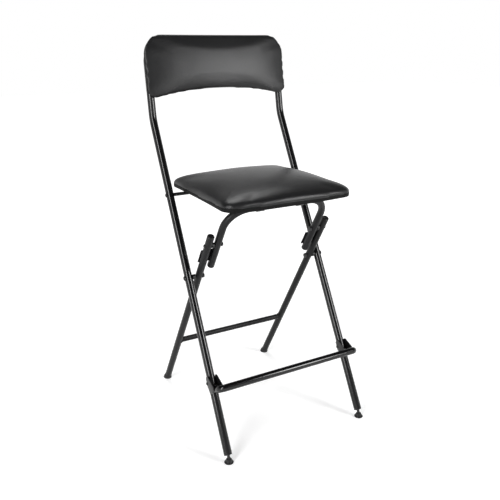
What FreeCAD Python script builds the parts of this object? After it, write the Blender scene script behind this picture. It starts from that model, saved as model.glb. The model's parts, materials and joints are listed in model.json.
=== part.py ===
import FreeCAD, Part
import math
import os

# Folding bar stool with a padded seat and backrest.
# Millimetres, +Z up, -Y is the front (the sitter's knees), +X to the right as seen from the front.
# The origin is on the floor, midway between the front and the rear feet.

# Overall stance
floor_depth = 496.0
front_lean = 28.38
rear_lean = 30.69
back_lean = 9.87

# Tubes: outer diameter and wall
frame_tube_d = 22.0
leg_tube_d = 20.0
footrest_tube_d = 19.0
crossbar_d = 16.0
tube_wall = 1.2

# Spacing of each pair of tubes, centre to centre
frame_width = 430.0
rear_width = 368.0
link_width = 312.0

# Back frame: heights of its bends, and bend radii
back_bend_height = 847.0
frame_top_along = 222.0
back_bend_radius = 120.0
frame_corner_radius = 62.0
frame_end_height = 22.5

# Heights of the seat's two hinge lines, and of the tube ends beside the knee joint
seat_pivot_height = 647.5
link_pivot_height = 646.5
rear_leg_top_height = 571.5
link_end_height = 470.0
link_corner_radius = 62.0
rear_leg_end_height = 8.0
crossbar_height = 176.0

# Fits
running_gap = 0.05
seat_gap = 0.2
body_gap = 0.3
hole_gap = 0.1
cut_margin = 1.0
screw_tip_gap = 1.0

# Pivot hardware
frame_bolt_d = 8.0
frame_bolt_head_d = 14.0
frame_bolt_head_h = 4.0
frame_nut_d = 13.0
frame_nut_h = 4.6
knee_bolt_d = 7.0
knee_bolt_head_d = 12.0
knee_bolt_head_h = 3.0
knee_nut_d = 12.0
knee_nut_h = 4.2
bolt_end = 1.0
spacer_d = 14.0
seat_rod_d = 10.0
seat_bolt_d = 6.0
seat_bolt_head_d = 12.0
seat_bolt_head_h = 3.2

# Stop plates that lock the knee joints open
stop_thickness = 1.2
stop_start = 39.6
stop_end_overhang = 3.5
stop_side_overhang = 2.5

# Saddles under the seat board
saddle_thickness = 1.5
saddle_width = 22.0
saddle_flange = 15.0
front_saddle_x = 62.0
rear_saddle_x = 118.0
saddle_screw_d = 4.0
saddle_screw_head_d = 8.0
saddle_screw_head_h = 2.2
saddle_screw_length = 7.0

# Seat
seat_board_bottom = 659.5
seat_board_thickness = 9.0
seat_board_inset = 4.0
seat_front_y = -205.0
seat_rear_y = 158.0
seat_front_width = 388.0
seat_rear_width = 370.0
seat_front_corner = 35.0
seat_rear_corner = 16.0
seat_draw_in = 3.0
seat_front_bow = 8.0
seat_side_height = 11.0
seat_crown = 40.0
seat_crown_reach = 97.0
seat_fullness = 1.6
seat_tuck = 1.0

# Cushions: bands up the rounded crown, and growth of the corner radius per millimetre in from the edge
crown_bands = 7
corner_growth = 0.1

# Backrest
backrest_low_along = 58.5
backrest_high_along = 239.0
backrest_width = 461.0
backrest_top_corner = 58.0
backrest_low_corner = 26.0
backrest_arch = 24.0
backrest_draw_in = 2.0
backrest_board_thickness = 7.0
backrest_board_inset = 4.0
backrest_side_height = 9.0
backrest_crown = 12.0
backrest_crown_reach = 42.0
backrest_fullness = 1.8
backrest_screw_d = 5.0
backrest_screw_head_d = 10.0
backrest_screw_head_h = 3.0
backrest_screw_alongs = (92.0, 160.0)

# Footrest and its brackets
footrest_height = 170.0
footrest_standoff = 60.0
footrest_width = 435.0
footrest_bend_radius = 14.0
bracket_thickness = 2.0
bracket_gap = 24.8
bracket_strap = (6.0, 32.0)
bracket_rise = 36.0
bracket_drop = 9.0
bracket_reach = 34.0
bracket_low_reach = 22.0
bracket_high_reach = 12.0
bracket_bolt_rise = 18.0
bracket_bolt_d = 5.0
bracket_bolt_head_d = 9.0
bracket_bolt_head_h = 2.6

# Feet
glide_base_d = 25.0
glide_base_h = 12.5
glide_rim_h = 3.0
glide_neck_d = 8.0
glide_neck_wall = 3.0
glide_shoulder = 2.5
glide_edge = 1.0
glide_stud_gap = 2.0
glide_socket_height = 4.0
plug_flange_h = 2.5
plug_depth = 20.0
rear_foot_d = 25.0
rear_foot_depth = 18.0
cap_dome_h = 3.6
cap_depth = 14.0


# Side view: places as (y, z) pairs
def front_line(z):
    """Centre of the back frame's leg at height z."""
    return -floor_depth / 2 + z * math.tan(math.radians(front_lean)), z


def rear_line(z):
    """Centre of the rear leg at height z."""
    return floor_depth / 2 - z * math.tan(math.radians(rear_lean)), z


def up(lean):
    """Unit direction that leans back by the given angle as it rises."""
    return math.sin(math.radians(lean)), math.cos(math.radians(lean))


def step(point, direction, distance):
    return point[0] + direction[0] * distance, point[1] + direction[1] * distance


def at(x, point):
    return FreeCAD.Vector(x, point[0], point[1])


def direction3(direction):
    return FreeCAD.Vector(0, direction[0], direction[1])


FRONT_UP = up(front_lean)
REAR_UP = up(-rear_lean)
BACK_UP = up(back_lean)
BACK_OUT = (-BACK_UP[1], BACK_UP[0])
FRONT_OUT = (-FRONT_UP[1], FRONT_UP[0])
X_AXIS = FreeCAD.Vector(1, 0, 0)
SIDES = (("left", -1), ("right", 1))

cross_height = floor_depth / (math.tan(math.radians(front_lean)) + math.tan(math.radians(rear_lean)))
CROSS = front_line(cross_height)
SEAT_PIVOT = front_line(seat_pivot_height)
LINK_PIVOT = rear_line(link_pivot_height)
BEND = front_line(back_bend_height)

# The knee sits where the fold ends flat: with every pin on the back frame's line,
# crossing to knee plus knee to seat equals the way round by the seat.
cross_to_seat = math.dist(CROSS, SEAT_PIVOT)
cross_to_link = math.dist(CROSS, LINK_PIVOT)
seat_to_link = math.dist(SEAT_PIVOT, LINK_PIVOT)
knee_distance = (cross_to_link + seat_to_link - cross_to_seat) / 2
KNEE = step(CROSS, REAR_UP, knee_distance)

frame_r = frame_tube_d / 2
leg_r = leg_tube_d / 2
frame_x = frame_width / 2
rear_x = rear_width / 2
link_x = link_width / 2


# General shapes
def bent_tube(points, radii, diameter, bore):
    """Tube along straight runs joined by tangent bends at the inner points, with flat ends."""
    pieces = []
    start = points[0]
    for before, corner, after, radius in zip(points, points[1:], points[2:], radii):
        back = (before - corner).normalize()
        ahead = (after - corner).normalize()
        half = back.getAngle(ahead) / 2
        bend_start = corner + back * (radius / math.tan(half))
        bend_end = corner + ahead * (radius / math.tan(half))
        centre = corner + (back + ahead).normalize() * (radius / math.sin(half))
        pieces.append(ring_face(start, -back, diameter, bore).extrude(bend_start - start))
        turn = math.degrees(math.pi - 2 * half)
        pieces.append(ring_face(bend_start, -back, diameter, bore).revolve(centre, ahead.cross(back), turn))
        start = bend_end
    way = points[-1] - start
    pieces.append(ring_face(start, way, diameter, bore).extrude(way))
    return pieces[0].multiFuse(pieces[1:]).removeSplitter()


def ring_face(centre, axis, diameter, bore):
    """Disc across an axis, with a hole where bore isn't zero."""
    disc = Part.Face(Part.Wire(Part.makeCircle(diameter / 2, centre, axis)))
    if not bore:
        return disc
    return disc.cut(Part.Face(Part.Wire(Part.makeCircle(bore / 2, centre, axis))))


def rod(start, end, diameter):
    way = end - start
    return Part.makeCylinder(diameter / 2, way.Length, start, way)


def straight_tube(start, end, diameter):
    return rod(start, end, diameter).cut(rod(start, end, diameter - 2 * tube_wall))


def x_rod(x_start, x_end, point, diameter):
    """Round bar along X between two x places."""
    return rod(at(x_start, point), at(x_end, point), diameter)


def turned(profile, base, axis):
    """Solid turned from (radius, height) corners about an axis through base."""
    corners = [FreeCAD.Vector(radius, 0, height) for radius, height in profile]
    face = Part.Face(Part.makePolygon(corners + corners[:1]))
    solid = face.revolve(FreeCAD.Vector(0, 0, 0), FreeCAD.Vector(0, 0, 1), 360)
    turn = FreeCAD.Rotation(FreeCAD.Vector(0, 0, 1), axis)
    solid.Placement = FreeCAD.Placement(base, turn)
    return solid


def dome(radius, height, base, axis):
    """Shallow cap: a slice of a ball that is radius wide and height high."""
    ball_r = (radius * radius + height * height) / (2 * height)
    ball = Part.makeSphere(ball_r, FreeCAD.Vector(0, 0, height - ball_r))
    keep = Part.makeCylinder(radius, height)
    solid = ball.common(keep)
    solid.Placement = FreeCAD.Placement(base, FreeCAD.Rotation(FreeCAD.Vector(0, 0, 1), axis))
    return solid


def form_corners(low, high, side_draw):
    """Corner arcs of a cushion's outline, each with the pull on the middle of the side after it.

    low and high each give an edge's place, half width, corner radius and how far its middle is drawn in.
    """
    low_at, low_half, low_r, low_draw = low
    high_at, high_half, high_r, high_draw = high
    return [
        (low_half - low_r, low_at + low_r, low_r, -90, (-side_draw, 0)),
        (high_half - high_r, high_at - high_r, high_r, 0, (0, -high_draw)),
        (high_r - high_half, high_at - high_r, high_r, 90, (side_draw, 0)),
        (low_r - low_half, low_at + low_r, low_r, 180, (0, low_draw)),
    ]


def on_corner(corner, share):
    """Place at a share of the way round a corner arc."""
    x, y, radius, first_angle, _ = corner
    angle = math.radians(first_angle + 90 * share)
    return x + radius * math.cos(angle), y + radius * math.sin(angle)


def on_side(corner, following, share):
    """Place at a share of the way along the side between two corners, drawn in as a parabola."""
    start_x, start_y = on_corner(corner, 1)
    end_x, end_y = on_corner(following, 0)
    pull_x, pull_y = corner[4]
    pull = 4 * share * (1 - share)
    return (start_x + (end_x - start_x) * share + pull_x * pull,
            start_y + (end_y - start_y) * share + pull_y * pull)


def outline(form, place):
    """Closed wire round a cushion's outline, with an arc for each corner and each side."""
    corners = form_corners(*form)
    edges = []
    for corner, following in zip(corners, corners[1:] + corners[:1]):
        turn = [place(*on_corner(corner, share)) for share in (0, 0.5, 1)]
        side = [place(*on_side(corner, following, share)) for share in (0, 0.5, 1)]
        edges += [Part.Arc(*turn).toShape(), Part.Arc(*side).toShape()]
    return Part.Wire(edges)


def crown_steps(side, crown, reach, fullness):
    """(inset, height) steps of a padded edge: up the side, then round and in to the flat of the crown."""
    steps = [(0, side / 2), (0, side)]
    for band in range(1, crown_bands + 1):
        turn = math.pi / 2 * band / crown_bands
        inset = reach * (1 - math.cos(turn) ** (2 / fullness))
        steps.append((inset, side + crown * math.sin(turn) ** (2 / fullness)))
    return steps


def pan_head(diameter, height, base, axis):
    """Low screw head that narrows away from its bearing face."""
    return Part.makeCone(diameter / 2, diameter / 2 - height / 2, height, base, axis)


def hex_nut(x_start, side, point, across_flats, height, bore):
    """Nut whose bearing face is at x_start and whose body runs inwards from there."""
    corner_r = across_flats / math.sqrt(3)
    ring = []
    for number in range(6):
        angle = math.radians(60 * number)
        corner = step(point, (math.cos(angle), math.sin(angle)), corner_r)
        ring.append(at(x_start, corner))
    body = Part.Face(Part.makePolygon(ring + ring[:1])).extrude(X_AXIS * (-side * height))
    return body.cut(x_rod(x_start + side * cut_margin, x_start - side * (height + cut_margin), point, bore))


def group(solids):
    return Part.makeCompound(solids)


def prism_x(corners, x_start, x_end):
    """Side view outline of (y, z) corners, carried from x_start to x_end."""
    ring = [at(x_start, corner) for corner in corners]
    face = Part.Face(Part.makePolygon(ring + ring[:1]))
    return face.extrude(FreeCAD.Vector(x_end - x_start, 0, 0))


# Back frame
def frame_path():
    top = step(BEND, BACK_UP, frame_top_along)
    foot = front_line(frame_end_height)
    points = [at(-frame_x, foot), at(-frame_x, BEND), at(-frame_x, top)]
    points += [at(frame_x, top), at(frame_x, BEND), at(frame_x, foot)]
    corner = frame_corner_radius
    return points, [back_bend_radius, corner, corner, back_bend_radius]


def backrest_screw_places():
    """Start point, at the tube's rear, of each backrest screw."""
    places = []
    for along in backrest_screw_alongs:
        for _, side in SIDES:
            centre = step(BEND, BACK_UP, along)
            places.append(at(side * frame_x, step(centre, BACK_OUT, -frame_r)))
    return places


def backrest_screw_hole(place, length):
    return rod(place - direction3(BACK_OUT), place + direction3(BACK_OUT) * length,
               backrest_screw_d + 2 * hole_gap)


def frame_tube():
    points, radii = frame_path()
    tube = bent_tube(points, radii, frame_tube_d, frame_tube_d - 2 * tube_wall)
    reach = frame_x + frame_tube_d
    tube = tube.cut(x_rod(-reach, reach, CROSS, frame_bolt_d + 2 * hole_gap))
    tube = tube.cut(x_rod(-reach, reach, SEAT_PIVOT, seat_bolt_d + 2 * hole_gap))
    bracket_bolt = bracket_point(bracket_bolt_rise, 0)
    tube = tube.cut(x_rod(-reach, reach, bracket_bolt, bracket_bolt_d + 2 * hole_gap))
    for place in backrest_screw_places():
        tube = tube.cut(backrest_screw_hole(place, frame_tube_d + cut_margin))
    return tube


def front_leg_plugs():
    """Inserts in the ends of the front legs, each with a flange and the bore for the glide's stud."""
    inner = frame_r - tube_wall - hole_gap
    stud_r = glide_neck_d / 2 + hole_gap
    profile = [(stud_r, -plug_flange_h), (frame_r, -plug_flange_h), (frame_r, 0), (inner, 0),
               (inner, plug_depth), (stud_r, plug_depth)]
    foot = front_line(frame_end_height)
    return group([turned(profile, at(side * frame_x, foot), direction3(FRONT_UP)) for _, side in SIDES])


def glide_studs():
    """Necks between the bells and the plugs."""
    low = front_line(glide_socket_height)
    high = step(front_line(frame_end_height), FRONT_UP, plug_depth - glide_stud_gap)
    return group([rod(at(x, low), at(x, high), glide_neck_d) for x in (-frame_x, frame_x)])


def glide_bases():
    """Bells that stand flat on the floor, each bored for its stud."""
    rim_r = glide_base_d / 2
    crown_r = glide_neck_d / 2 + glide_neck_wall
    shoulder = (rim_r - glide_shoulder, glide_rim_h + glide_shoulder)
    profile = [(0, 0), (rim_r - glide_edge, 0), (rim_r, glide_edge), (rim_r, glide_rim_h), shoulder,
               (crown_r, glide_base_h), (0, glide_base_h)]
    low = front_line(glide_socket_height)
    high = front_line(glide_base_h * 2)
    bells = []
    for _, side in SIDES:
        base = FreeCAD.Vector(side * frame_x, front_line(glide_base_h)[0], 0)
        bell = turned(profile, base, FreeCAD.Vector(0, 0, 1))
        socket = rod(at(side * frame_x, low), at(side * frame_x, high), glide_neck_d + 2 * hole_gap)
        bells.append(bell.cut(socket))
    return group(bells)


# Backrest
def backrest_point(x, along, out):
    return at(x, step(step(BEND, BACK_UP, along), BACK_OUT, out))


def backrest_form(inset):
    """Backrest's outline drawn in by inset."""
    half = backrest_width / 2 - inset
    low = (backrest_low_along + inset, half, backrest_low_corner + corner_growth * inset, backrest_arch)
    top_corner = backrest_top_corner + corner_growth * inset
    high = (backrest_high_along - inset, half, top_corner, backrest_draw_in)
    return low, high, backrest_draw_in


def backrest_place(out):
    """Puts (x, along) points on a plane at a distance out in front of the tubes' centres."""
    def place(x, along):
        return backrest_point(x, along, out)

    return place


backrest_back = frame_r + seat_gap


def backrest_board():
    edge = outline(backrest_form(backrest_board_inset), backrest_place(backrest_back))
    board = Part.Face(edge).extrude(direction3(BACK_OUT) * backrest_board_thickness)
    for place in backrest_screw_places():
        board = board.cut(backrest_screw_hole(place, frame_tube_d + backrest_board_thickness))
    return board


def backrest_cushion():
    """Foam and cover: rolled edge, then a low crown, with a pocket at the back for the board."""
    steps = crown_steps(backrest_side_height, backrest_crown, backrest_crown_reach, backrest_fullness)
    rings = [outline(backrest_form(0), backrest_place(backrest_back))]
    for inset, height in steps:
        rings.append(outline(backrest_form(inset), backrest_place(backrest_back + height)))
    pocket_form = backrest_form(backrest_board_inset - seat_gap)
    pocket = Part.Face(outline(pocket_form, backrest_place(backrest_back - cut_margin)))
    depth = backrest_board_thickness + seat_gap + cut_margin
    return Part.makeLoft(rings, True, True).cut(pocket.extrude(direction3(BACK_OUT) * depth))


def backrest_screws():
    out = direction3(BACK_OUT)
    length = frame_tube_d + backrest_board_thickness - screw_tip_gap
    screws = []
    for place in backrest_screw_places():
        base = place - out * hole_gap
        head = pan_head(backrest_screw_head_d, backrest_screw_head_h, base, -out)
        screws.append(head.fuse(rod(base, base + out * length, backrest_screw_d)))
    return group(screws)


# Footrest
footrest_centre = step(front_line(footrest_height), FRONT_OUT, footrest_standoff)


def footrest_bar():
    """Bar across the front whose ends are bent back to the legs and coped to them."""
    end_x = footrest_width / 2
    back_end = step(front_line(footrest_height), FRONT_OUT, frame_r - tube_wall)
    points = [at(-end_x, back_end), at(-end_x, footrest_centre)]
    points += [at(end_x, footrest_centre), at(end_x, back_end)]
    bar = bent_tube(points, [footrest_bend_radius] * 2, footrest_tube_d, footrest_tube_d - 2 * tube_wall)
    low = step(front_line(footrest_height), FRONT_UP, -footrest_tube_d)
    high = step(front_line(footrest_height), FRONT_UP, footrest_tube_d)
    for _, side in SIDES:
        bar = bar.cut(rod(at(side * frame_x, low), at(side * frame_x, high), frame_tube_d + 2 * seat_gap))
    return bar


def bracket_point(rise, out):
    """Place in the side view, from the footrest's height on the leg."""
    return step(step(front_line(footrest_height), FRONT_UP, rise), FRONT_OUT, out)


def footrest_bracket(side):
    """Steel strap bent round the back of the leg, with two cheeks that hold the footrest's end."""
    x = side * frame_x
    inner = bracket_gap / 2
    outer = inner + bracket_thickness
    shift = inner - frame_r - seat_gap
    strap_low, strap_high = bracket_strap
    low = at(x, bracket_point(strap_low, shift))
    high = at(x, bracket_point(strap_high, shift))
    cheek = [bracket_point(strap_low, shift), bracket_point(-bracket_drop, frame_r / 2),
             bracket_point(-bracket_drop, bracket_low_reach), bracket_point(0, bracket_reach),
             bracket_point(bracket_drop, bracket_reach), bracket_point(bracket_rise, bracket_high_reach),
             bracket_point(bracket_rise, shift), bracket_point(strap_high, shift)]
    strap = rod(low, high, 2 * outer).cut(rod(low, high, 2 * inner))
    below = strap_low - cut_margin
    above = strap_high + cut_margin
    behind = [bracket_point(below, shift), bracket_point(below, shift + 2 * outer),
              bracket_point(above, shift + 2 * outer), bracket_point(above, shift)]
    strap = strap.cut(prism_x(behind, x - 2 * outer, x + 2 * outer))
    for way in (-1, 1):
        strap = strap.fuse(prism_x(cheek, x + way * inner, x + way * outer))
    bolt_place = bracket_point(bracket_bolt_rise, 0)
    hole = x_rod(x - 2 * outer, x + 2 * outer, bolt_place, bracket_bolt_d + 2 * hole_gap)
    return strap.removeSplitter().cut(hole)


def footrest_brackets():
    return group([footrest_bracket(side) for _, side in SIDES])


def footrest_bolts():
    bolts = []
    outer = bracket_gap / 2 + bracket_thickness + hole_gap
    point = bracket_point(bracket_bolt_rise, 0)
    for _, side in SIDES:
        shank = x_rod(side * (frame_x - outer), side * (frame_x + outer), point, bracket_bolt_d)
        for way in (-1, 1):
            base = at(side * (frame_x + way * outer), point)
            head = dome(bracket_bolt_head_d / 2, bracket_bolt_head_h, base, X_AXIS * side * way)
            shank = shank.fuse(head)
        bolts.append(shank)
    return group(bolts)


# Bolts at the crossing of the legs
def frame_pivot_bolts():
    bolts = []
    for _, side in SIDES:
        head_x = side * (frame_x + frame_r + hole_gap)
        end_x = side * (rear_x - leg_r - body_gap - frame_nut_h - bolt_end)
        head = dome(frame_bolt_head_d / 2, frame_bolt_head_h, at(head_x, CROSS), X_AXIS * side)
        bolts.append(head.fuse(x_rod(head_x, end_x, CROSS, frame_bolt_d)))
    return group(bolts)


def frame_pivot_nuts():
    return group([hex_nut(side * (rear_x - leg_r - body_gap), side, CROSS, frame_nut_d, frame_nut_h,
                          frame_bolt_d + 2 * hole_gap) for _, side in SIDES])


def frame_pivot_spacers():
    spacers = []
    for _, side in SIDES:
        start = side * (rear_x + leg_r + body_gap)
        end = side * (frame_x - frame_r - hole_gap)
        spacer = x_rod(start, end, CROSS, spacer_d)
        spacers.append(spacer.cut(x_rod(start, end, CROSS, frame_bolt_d + 2 * hole_gap)))
    return group(spacers)


def seat_pivot_bolts():
    """Bolts into the ends of the seat rod, drawn up to the inner face of each tube."""
    bolts = []
    for _, side in SIDES:
        head_x = side * (frame_x + frame_r + hole_gap)
        end_x = side * (frame_x - frame_r)
        head = dome(seat_bolt_head_d / 2, seat_bolt_head_h, at(head_x, SEAT_PIVOT), X_AXIS * side)
        bolts.append(head.fuse(x_rod(head_x, end_x, SEAT_PIVOT, seat_bolt_d)))
    return group(bolts)


# Rear frame
def rear_leg(side):
    x = side * rear_x
    bottom = rear_foot_top()
    tube = straight_tube(at(x, bottom), at(x, rear_line(rear_leg_top_height)), leg_tube_d)
    for pivot, diameter in ((CROSS, frame_bolt_d), (KNEE, knee_bolt_d)):
        tube = tube.cut(x_rod(x - leg_tube_d, x + leg_tube_d, pivot, diameter + 2 * running_gap))
    return tube


def rear_foot_top():
    """Centre of the rear leg's lower end."""
    return rear_line(rear_leg_end_height + leg_r * math.sin(math.radians(rear_lean)))


def rear_crossbar():
    """Bar between the rear legs, coped to their tubes."""
    centre = rear_line(crossbar_height)
    bar = straight_tube(at(-rear_x, centre), at(rear_x, centre), crossbar_d)
    for _, side in SIDES:
        low = step(centre, REAR_UP, -crossbar_d * 2)
        high = step(centre, REAR_UP, crossbar_d * 2)
        bar = bar.cut(rod(at(side * rear_x, low), at(side * rear_x, high), leg_tube_d))
    return bar


def rear_feet():
    """Rubber feet: a plug in the tube and a flared sole that is cut flat on the floor."""
    sole_r = rear_foot_d / 2
    below = rear_leg_end_height * 3
    plug_r = leg_r - tube_wall - hole_gap
    profile = [(0, -below), (sole_r, -below), (sole_r, -leg_r), (leg_r, -hole_gap), (plug_r, -hole_gap),
               (plug_r, rear_foot_depth), (0, rear_foot_depth)]
    room = Part.makeBox(rear_width * 2, floor_depth, floor_depth, FreeCAD.Vector(-rear_width, 0, 0))
    feet = []
    for _, side in SIDES:
        foot = turned(profile, at(side * rear_x, rear_foot_top()), direction3(REAR_UP))
        feet.append(foot.common(room))
    return group(feet)


def tube_cap(x, end, direction):
    """Domed plug in the end of a 20 mm tube; direction points out of the tube."""
    way = direction3(direction)
    base = at(x, end) + way * hole_gap
    shank = rod(base - way * cap_depth, base, leg_tube_d - 2 * tube_wall - 2 * hole_gap)
    return dome(leg_r, cap_dome_h, base, way).fuse(shank)


def rear_leg_caps():
    top = rear_line(rear_leg_top_height)
    return group([tube_cap(side * rear_x, top, REAR_UP) for _, side in SIDES])


# Knee joints between the rear legs and the seat link
def knee_bolts():
    bolts = []
    for _, side in SIDES:
        head_x = side * (rear_x + leg_r + hole_gap)
        end_x = side * (link_x - leg_r - body_gap - knee_nut_h - bolt_end)
        head = dome(knee_bolt_head_d / 2, knee_bolt_head_h, at(head_x, KNEE), X_AXIS * side)
        bolts.append(head.fuse(x_rod(head_x, end_x, KNEE, knee_bolt_d)))
    return group(bolts)


def knee_nuts():
    return group([hex_nut(side * (link_x - leg_r - body_gap), side, KNEE, knee_nut_d, knee_nut_h,
                          knee_bolt_d + 2 * hole_gap) for _, side in SIDES])


def knee_spacers():
    spacers = []
    for _, side in SIDES:
        start = side * (link_x + leg_r + body_gap)
        end = side * (rear_x - leg_r - hole_gap)
        spacer = x_rod(start, end, KNEE, spacer_d)
        spacers.append(spacer.cut(x_rod(start, end, KNEE, knee_bolt_d + 2 * hole_gap)))
    return group(spacers)


# Seat link: one tube bent into a U, with its legs beside the rear legs
def link_tube():
    low = rear_line(link_end_height)
    points = [at(-link_x, low), at(-link_x, LINK_PIVOT), at(link_x, LINK_PIVOT), at(link_x, low)]
    tube = bent_tube(points, [link_corner_radius] * 2, leg_tube_d, leg_tube_d - 2 * tube_wall)
    return tube.cut(x_rod(-link_x - leg_tube_d, link_x + leg_tube_d, KNEE, knee_bolt_d + 2 * running_gap))


def link_caps():
    low = rear_line(link_end_height)
    return group([tube_cap(side * link_x, low, (-REAR_UP[0], -REAR_UP[1])) for _, side in SIDES])


def link_stops():
    """Plates welded behind the link's lower ends that meet the backs of the rear legs."""
    behind = (REAR_UP[1], -REAR_UP[0])
    near = leg_r + body_gap
    high = step(KNEE, REAR_UP, -stop_start)
    low = step(rear_line(link_end_height), REAR_UP, -stop_end_overhang)
    corners = [step(high, behind, near), step(low, behind, near),
               step(low, behind, near + stop_thickness), step(high, behind, near + stop_thickness)]
    inner_x = link_x - leg_r - stop_side_overhang
    outer_x = rear_x + leg_r
    return group([prism_x(corners, side * inner_x, side * outer_x) for _, side in SIDES])


# Seat
def seat_form(inset):
    """Seat's plan drawn in by inset: wider in front, with its sides pulled in between the corners."""
    front_half = seat_front_width / 2 - inset
    rear_half = seat_rear_width / 2 - inset
    front = (seat_front_y + inset, front_half, seat_front_corner + corner_growth * inset, -seat_front_bow)
    rear = (seat_rear_y - inset, rear_half, seat_rear_corner + corner_growth * inset, seat_draw_in)
    return front, rear, seat_draw_in


def seat_place(height):
    """Puts (x, y) points at a height above the underside of the seat board."""
    def place(x, y):
        return FreeCAD.Vector(x, y, seat_board_bottom + height)

    return place


def saddle_screw_places():
    """Centre of each saddle screw on the board's underside."""
    places = []
    rear_reach = seat_rod_d / 2 + saddle_thickness + saddle_flange / 2
    front_reach = leg_r + saddle_thickness + saddle_flange / 2
    pairs = ((rear_saddle_x, SEAT_PIVOT, rear_reach), (front_saddle_x, LINK_PIVOT, front_reach))
    for x, pivot, reach in pairs:
        for _, side in SIDES:
            for way in (-1, 1):
                places.append(FreeCAD.Vector(side * x, pivot[0] + way * reach, seat_board_bottom))
    return places


def seat_board():
    edge = outline(seat_form(seat_board_inset), seat_place(0))
    board = Part.Face(edge).extrude(FreeCAD.Vector(0, 0, seat_board_thickness))
    for place in saddle_screw_places():
        board = board.cut(Part.makeCylinder(saddle_screw_d / 2 + hole_gap, saddle_screw_length, place))
    return board


def seat_cushion():
    """Foam and cover: tucked lower edge, upright side, then the crown, with a pocket for the board."""
    steps = crown_steps(seat_side_height, seat_crown, seat_crown_reach, seat_fullness)
    rings = [outline(seat_form(seat_tuck), seat_place(0))]
    rings += [outline(seat_form(inset), seat_place(height)) for inset, height in steps]
    pocket = Part.Face(outline(seat_form(seat_board_inset - seat_gap), seat_place(-cut_margin)))
    depth = seat_board_thickness + seat_gap + cut_margin
    return Part.makeLoft(rings, True, True).cut(pocket.extrude(FreeCAD.Vector(0, 0, depth)))


def seat_rod():
    reach = frame_x - frame_r - body_gap - hole_gap
    return x_rod(-reach, reach, SEAT_PIVOT, seat_rod_d)


def saddle(x, pivot, diameter, gap):
    """Strap bent round a bar under the board, with a flange on each side."""
    inner = diameter / 2 + gap
    outer = inner + saddle_thickness
    top = seat_board_bottom - hole_gap
    x_low = x - saddle_width / 2
    x_high = x + saddle_width / 2
    y, z = pivot

    def block(half_y, z_low, z_high):
        corners = [(y - half_y, z_low), (y + half_y, z_low), (y + half_y, z_high), (y - half_y, z_high)]
        return prism_x(corners, x_low, x_high)

    strap = x_rod(x_low, x_high, pivot, 2 * outer).fuse(block(outer, z, top))
    strap = strap.fuse(block(outer + saddle_flange, top - saddle_thickness, top))
    strap = strap.cut(x_rod(x_low, x_high, pivot, 2 * inner)).cut(block(inner, z, top + cut_margin))
    depth = saddle_thickness + 2 * cut_margin
    for place in saddle_screw_places():
        under = place - FreeCAD.Vector(0, 0, depth)
        strap = strap.cut(Part.makeCylinder(saddle_screw_d / 2 + hole_gap, depth, under))
    return strap


def rear_saddles():
    return group([saddle(side * rear_saddle_x, SEAT_PIVOT, seat_rod_d, hole_gap) for _, side in SIDES])


def front_saddles():
    return group([saddle(side * front_saddle_x, LINK_PIVOT, leg_tube_d, body_gap) for _, side in SIDES])


def saddle_screws():
    screws = []
    for place in saddle_screw_places():
        under = place - FreeCAD.Vector(0, 0, saddle_thickness + 2 * hole_gap)
        head = pan_head(saddle_screw_head_d, saddle_screw_head_h, under, FreeCAD.Vector(0, 0, -1))
        length = saddle_screw_length + saddle_thickness - screw_tip_gap
        screws.append(head.fuse(Part.makeCylinder(saddle_screw_d / 2, length, under)))
    return group(screws)


def build():
    nodes = {
        "frame_tube": frame_tube(),
        "backrest_board": backrest_board(),
        "backrest_cushion": backrest_cushion(),
        "backrest_screws": backrest_screws(),
        "footrest_bar": footrest_bar(),
        "footrest_brackets": footrest_brackets(),
        "footrest_bolts": footrest_bolts(),
        "frame_pivot_bolts": frame_pivot_bolts(),
        "frame_pivot_nuts": frame_pivot_nuts(),
        "frame_pivot_spacers": frame_pivot_spacers(),
        "seat_pivot_bolts": seat_pivot_bolts(),
        "front_leg_plugs": front_leg_plugs(),
        "glide_studs": glide_studs(),
        "glide_bases": glide_bases(),
        "rear_crossbar": rear_crossbar(),
        "rear_feet": rear_feet(),
        "rear_leg_caps": rear_leg_caps(),
        "knee_bolts": knee_bolts(),
        "knee_nuts": knee_nuts(),
        "knee_spacers": knee_spacers(),
        "link_tube": link_tube(),
        "link_caps": link_caps(),
        "link_stops": link_stops(),
        "seat_board": seat_board(),
        "seat_cushion": seat_cushion(),
        "seat_rod": seat_rod(),
        "rear_saddles": rear_saddles(),
        "front_saddles": front_saddles(),
        "saddle_screws": saddle_screws(),
    }
    for side_name, side in SIDES:
        nodes["rear_leg_" + side_name] = rear_leg(side)
    return nodes


os.makedirs("parts", exist_ok=True)
for node_name, shape in build().items():
    shape.exportStep("parts/" + node_name + ".step")
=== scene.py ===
"""Folding bar stool with a padded seat and a low padded backrest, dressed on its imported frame."""

import json
import math
from collections import namedtuple

import bmesh
import bpy
import numpy as np
from bpy.props import FloatProperty, FloatVectorProperty, IntProperty, PointerProperty
from mathutils import Euler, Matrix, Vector


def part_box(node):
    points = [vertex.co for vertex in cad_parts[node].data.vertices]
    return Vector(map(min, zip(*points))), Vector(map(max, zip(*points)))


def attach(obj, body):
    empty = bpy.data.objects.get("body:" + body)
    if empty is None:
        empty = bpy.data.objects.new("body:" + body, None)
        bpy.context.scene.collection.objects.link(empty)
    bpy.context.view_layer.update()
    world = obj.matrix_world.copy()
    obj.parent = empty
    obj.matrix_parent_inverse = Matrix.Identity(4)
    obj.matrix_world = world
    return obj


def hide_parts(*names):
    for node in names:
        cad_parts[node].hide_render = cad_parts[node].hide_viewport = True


bl_info = {
    "name": "Folding Bar Stool",
    "version": (1, 0, 0),
    "blender": (4, 5, 0),
    "location": "View3D > Sidebar > Bar Stool",
    "description": "Builds the tubes, hardware, padded seat and backrest of a folding bar stool",
    "category": "Add Mesh",
}

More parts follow.
